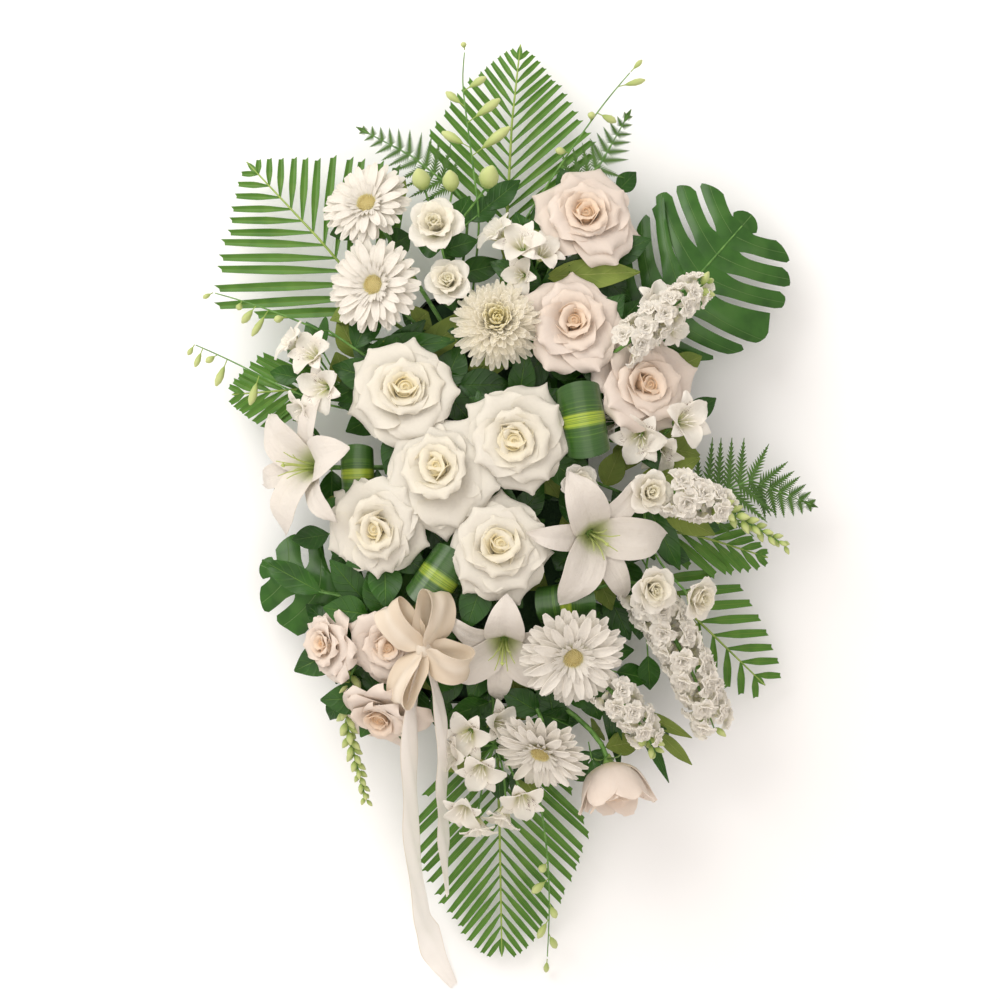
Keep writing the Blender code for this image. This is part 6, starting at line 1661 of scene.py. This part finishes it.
for count, length, half, leans, start in RUFFLE_LAYERS:
    for i in range(count):
        luck = rng.random()
        grid = petal_grid((0.8, 5), length, half, leans, 5, 0.1, point=0.1, rows=4, cols=4, wave=1.6, luck=luck)
        ruffle.sheet(spun(grid, 360 / count * i + start + rng.uniform(-9, 9)), tone=rng.random())
ruffle.graft(cone((0.8, 1.8, 1.2), (-1, 2.5, 6.5), 5))
stock_floret = bpy.data.objects.new("stock_floret", ruffle.mesh("stock_floret"))
green_bud = kept("green_bud", bud_green, bud_body(12, 6.5, 6))
for name, (line, count, sizes, buds, girth, seed) in SPIKES.items():
    level = dome_at(*line[0][:2])[0]
    rib = along([spot(u, v, level + z) for u, v, z in line], 4)
    rib = eased(rib + lift_of(name, rib[-1]), 24)
    plant = Plant([small_white, stalk_green, bud_green, broad_green, olive_under])
    cut = max(2, int(24 * count / (count + buds * 0.7)))
    if count:
        plant.graft(florets_on(rib[:cut], stock_floret, small_white, count, girth, sizes, (0.1, 0.7), seed))
    line = rib[max(cut - 2, 0):]
    made = florets_on(line, green_bud, bud_green, buds, girth * 0.3, (1.6, 0.8), (0.8, 1.6), seed + 1)
    plant.graft(made, slot=2)
    plant.graft(stalk(rib, np.linspace(girth * 0.5, 0.8, 24), stalk_green), slot=1)
    axis = unit(rib[3] - rib[0] + (0, 0, 0.004))
    plant_out(plant, name, rib[0], axis, np.linspace(1.8, 2.2, 10), leaves=(1, 3, 4))
print("spikes:", len(SPIKES))

# %% [markdown]
# ## Orchid bud sprays
# Thin arching stems with nodding yellow-green buds. Each bud hangs on a thread of its own, so its body
# begins a third of the way down.

# %% Five bud sprays
ORCHIDS = {
    # name: stem line, buds (share along it, tip, width)
    "orchid_top_left": (((478, 205, 0.10), (467, 120, 0.10), (460, 72, 0.085), (465, 47, 0.07)), (
        (0.98, (463, 42, 0.075), 7), (0.7, (486, 77, 0.09), 9), (0.6, (446, 92, 0.09), 9),
        (0.5, (500, 99, 0.10), 11), (0.35, (442, 132, 0.095), 11), (0.3, (510, 127, 0.11), 12),
    )),
    "orchid_top_right": (((528, 215, 0.10), (570, 150, 0.10), (610, 95, 0.09), (634, 68, 0.07)), (
        (0.97, (642, 60, 0.07), 6), (0.85, (645, 80, 0.075), 8), (0.66, (616, 122, 0.085), 9),
        (0.6, (592, 112, 0.1), 9), (0.4, (556, 150, 0.11), 9),
    )),
    "orchid_upper_left": (((330, 335, 0.095), (285, 315, 0.10), (240, 300, 0.09), (211, 292, 0.07)), (
        (0.98, (203, 298, 0.07), 6), (0.72, (238, 310, 0.085), 8), (0.6, (242, 323, 0.085), 9),
        (0.35, (274, 320, 0.10), 9), (0.5, (252, 336, 0.085), 8),
    )),
    "orchid_lower_left": (((320, 402, 0.095), (283, 388, 0.10), (235, 362, 0.09), (191, 343, 0.065)), (
        (0.97, (188, 355, 0.065), 6), (0.9, (195, 367, 0.07), 7), (0.78, (206, 362, 0.085), 8),
        (0.7, (216, 386, 0.08), 9), (0.45, (250, 405, 0.09), 10),
    )),
    "orchid_bottom": (((540, 800, 0.095), (549, 860, 0.085), (550, 910, 0.060), (547, 962, 0.020)), (
        (0.98, (546, 972, 0.010), 7), (0.8, (556, 948, 0.03), 9), (0.7, (538, 938, 0.04), 9),
        (0.6, (556, 918, 0.06), 9), (0.45, (532, 893, 0.07), 10), (0.35, (540, 872, 0.08), 10),
    )),
}
for name, (line, buds) in ORCHIDS.items():
    fine = along(along([spot(*p) for p in line], 5), 100)
    tips = np.array([spot(*tip) for _, tip, _ in buds])
    lift = lift_of(name, tips)
    fine, tips = eased(fine, 100) + lift, tips + lift
    plant = Plant([bud_green, stalk_green])
    for (share, _, width), tip in zip(buds, tips):
        root = fine[int(share * 99)]
        radii = (0.6, 0.6, 0.30 * width, 0.5 * width, 0.44 * width, 0.14 * width)
        heights = np.array([0, 0.26, 0.40, 0.64, 0.84, 1.0]) * np.linalg.norm(tip - root) / MM
        plant.graft(cone(radii, heights, 8), turn(tip - root, 20), root, tone=share)
    plant.graft(stalk(fine[::5], np.linspace(1.2, 0.6, 20), stalk_green), slot=1)
    plant_out(plant, name, fine[0], unit(fine[10] - fine[0]), 1.3)
print("orchid sprays:", len(ORCHIDS))

# %% [markdown]
# ## The bow
# A cream satin bow is wired to a wooden pick: four gathered loops round a knot and two tails that run down
# over the surface. Satin shows its weave only as a soft streak of light across the ribbon, so the finish is
# smooth along the width and finely ribbed. Its colour holds painted shade and light: darker beige streaks for
# the shade in its folds, a darker cream on the loops and near white on the tails. Every strip says what length
# it was cut to.

# %% Ribbon sheets
BOW_KNOT = (424, 649, 0.172)
BOW_WIDTH = 38 * MM
BOW_LOOPS = (
    # end (u, v), rise over the knot, height of the loop in mm, roll in degrees
    ((434, 590), 3, 18, 48), ((388, 604), 2, 15, -34), ((472, 664), 3, 20, 38), ((400, 706), 3, 14, 56),
)
TAILS = (
    # how steeply the strip stands across its run, rows, and its points (u, v, z)
    (66, 11, (
        (424, 658, 0.168), (412, 700, 0.168), (409, 740, 0.162), (410, 790, 0.120), (411, 835, 0.085),
        (416, 880, 0.062), (425, 930, 0.038), (441, 955, 0.010), (463, 977, 0.0015),
    )),
    (74, 8, (
        (429, 658, 0.168), (438, 700, 0.168), (442, 734, 0.164), (442, 790, 0.120), (443, 830, 0.090),
        (446, 868, 0.078), (451, 891, 0.074),
    )),
)
satin, tree = surface("cream_satin_ribbon")
_, side, _, tone = marks = marks_of(tree)
through = add(tree, "MapRange", {0: tone, 1: 0.85, 2: 0.95, 3: 0.3, 4: 0.55}, interpolation_type="SMOOTHSTEP")
edge = add(tree, "Math", {0: side}, operation="ABSOLUTE")
colour = layered(
    # Painted shade: darker beige streaks along the ribbon stand in for the shade in its folds
    tree, "#F7EEDF", ("#E3D2B8", streaks(tree, marks, 1.3, 0.5, 1.0), 0.30, 0.80, 0.0, 0.85),
    # Painted light and shade: the tails, whose tone is 1, are painted near white, while the loops keep the darker
    # cream as painted shade
    ("#FFFDFA", tone, 0.85, 0.95), ("#E2D4C0", edge, 0.93, 0.97, 0.0, 0.4),
)
weave = streaks(tree, marks, 1.5, 420.0, 1.0)
bump = add(tree, "Bump", {"Strength": 0.12, "Distance": 0.1 * MM, "Height": weave})
skin = {"Base Color": colour, "Roughness": 0.27, "IOR": 1.5, "Anisotropic": 0.5, "Normal": bump}
close(tree, {**skin, "Sheen Weight": 0.2, "Sheen Roughness": 0.35, "Specular IOR Level": 0.65}, through)


def rounded(points, count):
    """A smooth line through a few points, leaving its ends where they are."""
    points = np.array(points, float)
    padded = np.vstack([2 * points[0] - points[1], points, 2 * points[-1] - points[-2]])
    made = []
    for k in range(1, len(padded) - 2):
        p0, p1, p2, p3 = padded[k - 1 : k + 3]
        for t in np.linspace(0, 1, 16, endpoint=False):
            made.append(
                0.5 * (2 * p1 + (p2 - p0) * t + (2 * p0 - 5 * p1 + 4 * p2 - p3) * t * t
                       + (3 * p1 - p0 - 3 * p2 + p3) * t**3)
            )
    made.append(points[-1])
    return along(made, count)


def strip(path, widths, across, curl, cols=9):
    """A ribbon as a grid: each row as wide as its width, across the given way, a little bowed."""
    grid = np.zeros((len(path), cols, 3))
    for k, (point, width, side) in enumerate(zip(path, widths, across)):
        side = unit(side)
        run = unit(path[min(k + 1, len(path) - 1)] - path[max(k - 1, 0)])
        face = np.cross(side, run)
        s = np.linspace(-1, 1, cols)
        bow = curl * width * (1 - s * s) + 0.03 * width * np.sin(s * 5 + k * 0.35)
        grid[k] = point + s[:, None] * side * width / 2 + bow[:, None] * face
    return grid


def length_of(path):
    return float(np.linalg.norm(np.diff(path, axis=0), axis=1).sum())


def knot_misses(shift):
    """How far the knot's middle ring, raised by shift, lies from the solid's points."""
    return misses(spot(*BOW_KNOT) + (0, 0, shift + 7 * MM) + ring_of(9 * MM, 0, 6), bow_points)


LOOP_PROFILE = ((0.05, 0.10), (0.40, 0.34), (0.78, 0.34), (1.0, 0.10), (0.85, -0.10), (0.05, -0.06))
bow_points = solid_points("ribbon_bow")
knot_shift = min(SHIFTS, key=knot_misses)
knot = spot(*BOW_KNOT) + (0, 0, knot_shift)
sheets = []
for number, ((u, v), rise, height, roll) in enumerate(BOW_LOOPS, 1):
    out = spot(u, v, knot[2] + rise * MM) - knot
    reach, out, roll = np.linalg.norm(out), unit(out), math.radians(roll)
    level_side = unit(np.cross((0, 0, 1), out))
    side = level_side * math.cos(roll) + np.cross(out, level_side) * math.sin(roll)
    up = np.cross(out, side)
    path = rounded([knot + out * x * reach + up * z * height / 0.34 * MM for x, z in LOOP_PROFILE], 40)
    shares = np.interp(np.linspace(0, 1, 40), [0, 0.05, 0.13, 0.87, 0.95, 1], [0.25, 0.72, 1.0, 1.0, 0.72, 0.25])
    plant = Plant([satin])
    # Tone 0.2 keeps the loops in the darker cream of the satin, a painted shade
    plant.sheet(strip(path, BOW_WIDTH * shares, [side] * 40, 0.05), tone=0.2)
    sheets.append((f"bow_loop_{number}", plant, length_of(path)))
for number, (steep, rows, line) in enumerate(TAILS, 1):
    raised = [(u, v, z + knot_shift * min(z / BOW_KNOT[2], 1.0) ** 2) for u, v, z in line]
    coarse = along([spot(*p) for p in raised], rows)
    coarse[0] = knot + unit(coarse[1] - knot) * 4 * MM
    path, across = rounded(coarse, 70), []
    for k in range(70):
        run = unit(path[min(k + 1, 69)] - path[max(k - 1, 0)])
        flat = unit(np.cross(run, (0, 0, 1)))
        tilt = math.radians(steep) * min(1.0, max(0.0, (path[k][2] - 12 * MM) / (30 * MM)))
        across.append(flat * math.cos(tilt) + np.cross(flat, run) * math.sin(tilt))
    widths = BOW_WIDTH * np.interp(np.linspace(0, 1, 70), [0, 0.18, 0.84, 1], [0.2, 1.0, 1.0, 0.25])
    slant = np.where(np.arange(70) > 58, (BOW_WIDTH - widths) / 2, 0.0)
    path = path + np.array(across) * slant[:, None]
    plant = Plant([satin])
    # Tone 1 paints the tails near white, a painted light, and lets more light pass through them
    plant.sheet(strip(path, widths, across, 0.03), tone=1.0)
    sheets.append((f"bow_tail_{number}", plant, length_of(path)))
plant = Plant([satin])
plant.graft(cone((7.5, 9.0, 8.2, 9.0, 7.5), (-6.5, -4, 0, 4, 6.5), 18), place=knot)
dress("bow_knot", plant, "ribbon_bow")
for name, plant, length in sheets:
    made = dress(name, plant, "ribbon_bow")
    print(name, "was cut to", round(BOW_WIDTH * 1000), "by", round(length * 1000), "mm")

# %% [markdown]
# ## Holder
# The foam, the tray and the pick have the right shape already; they only get their stuff: crumbly green foam
# with a fine grain, dull moulded plastic, and bare wood.

# %% Foam, tray and pick


def plain_finish(name, body, shade, grain, rough, strength, depth):
    made, tree = surface(name)
    fine = mottle(tree, grain, 6.0)
    layers = (shade, fine, 0.35, 0.7, 0.0, 0.6), (shade, mottle(tree, grain * 20), 0.4, 0.7, 0.0, 0.35)
    bump = add(tree, "Bump", {"Strength": strength, "Distance": depth, "Height": fine})
    close(tree, {"Base Color": layered(tree, body, *layers), "Roughness": rough, "IOR": 1.46, "Normal": bump})
    return made


stays = {
    # Soaked floral foam: open cells, dark with water
    "foam": plain_finish("wet_floral_foam", "#2C4A2B", "#16291A", 0.7 * MM, 0.9, 0.8, 0.6 * MM),
    # Injection-moulded tray with a fine spark-eroded texture
    "tray": plain_finish("moulded_tray_plastic", "#1F3524", "#16261B", 0.5 * MM, 0.45, 0.2, 0.1 * MM),
    # A turned pick of birch
    "bow_pick": plain_finish("birch_pick", "#C9A877", "#A9854F", 0.9 * MM, 0.7, 0.3, 0.2 * MM),
}
for name, finish in stays.items():
    for slot in frame["nodes"][name].material_slots:
        slot.material = finish
print("kept as they are:", list(stays))

# %% [markdown]
# ## Last look
# At the end we print which plants were left undressed, how many triangles the pieces have, and which landmark
# lies furthest from its solid, and by how much.

# %% Measure
left = [name for name in frame["nodes"] if f"{name}_grown" not in dressed and name not in [*stays, "ribbon_bow"]]
print("not dressed:", left)
total = 0
for name in dressed:
    mesh = bpy.data.objects[name].data
    mesh.calc_loop_triangles()
    total += len(mesh.loop_triangles)
print("pieces:", len(dressed), "triangles:", total)
print("furthest landmark:", round(max(misfits.values()) * 1000, 2), "mm, of", max(misfits, key=misfits.get))
for name in list(bpy.data.objects.keys()):
    if not bpy.data.objects[name].users_collection:
        bpy.data.objects.remove(bpy.data.objects[name])
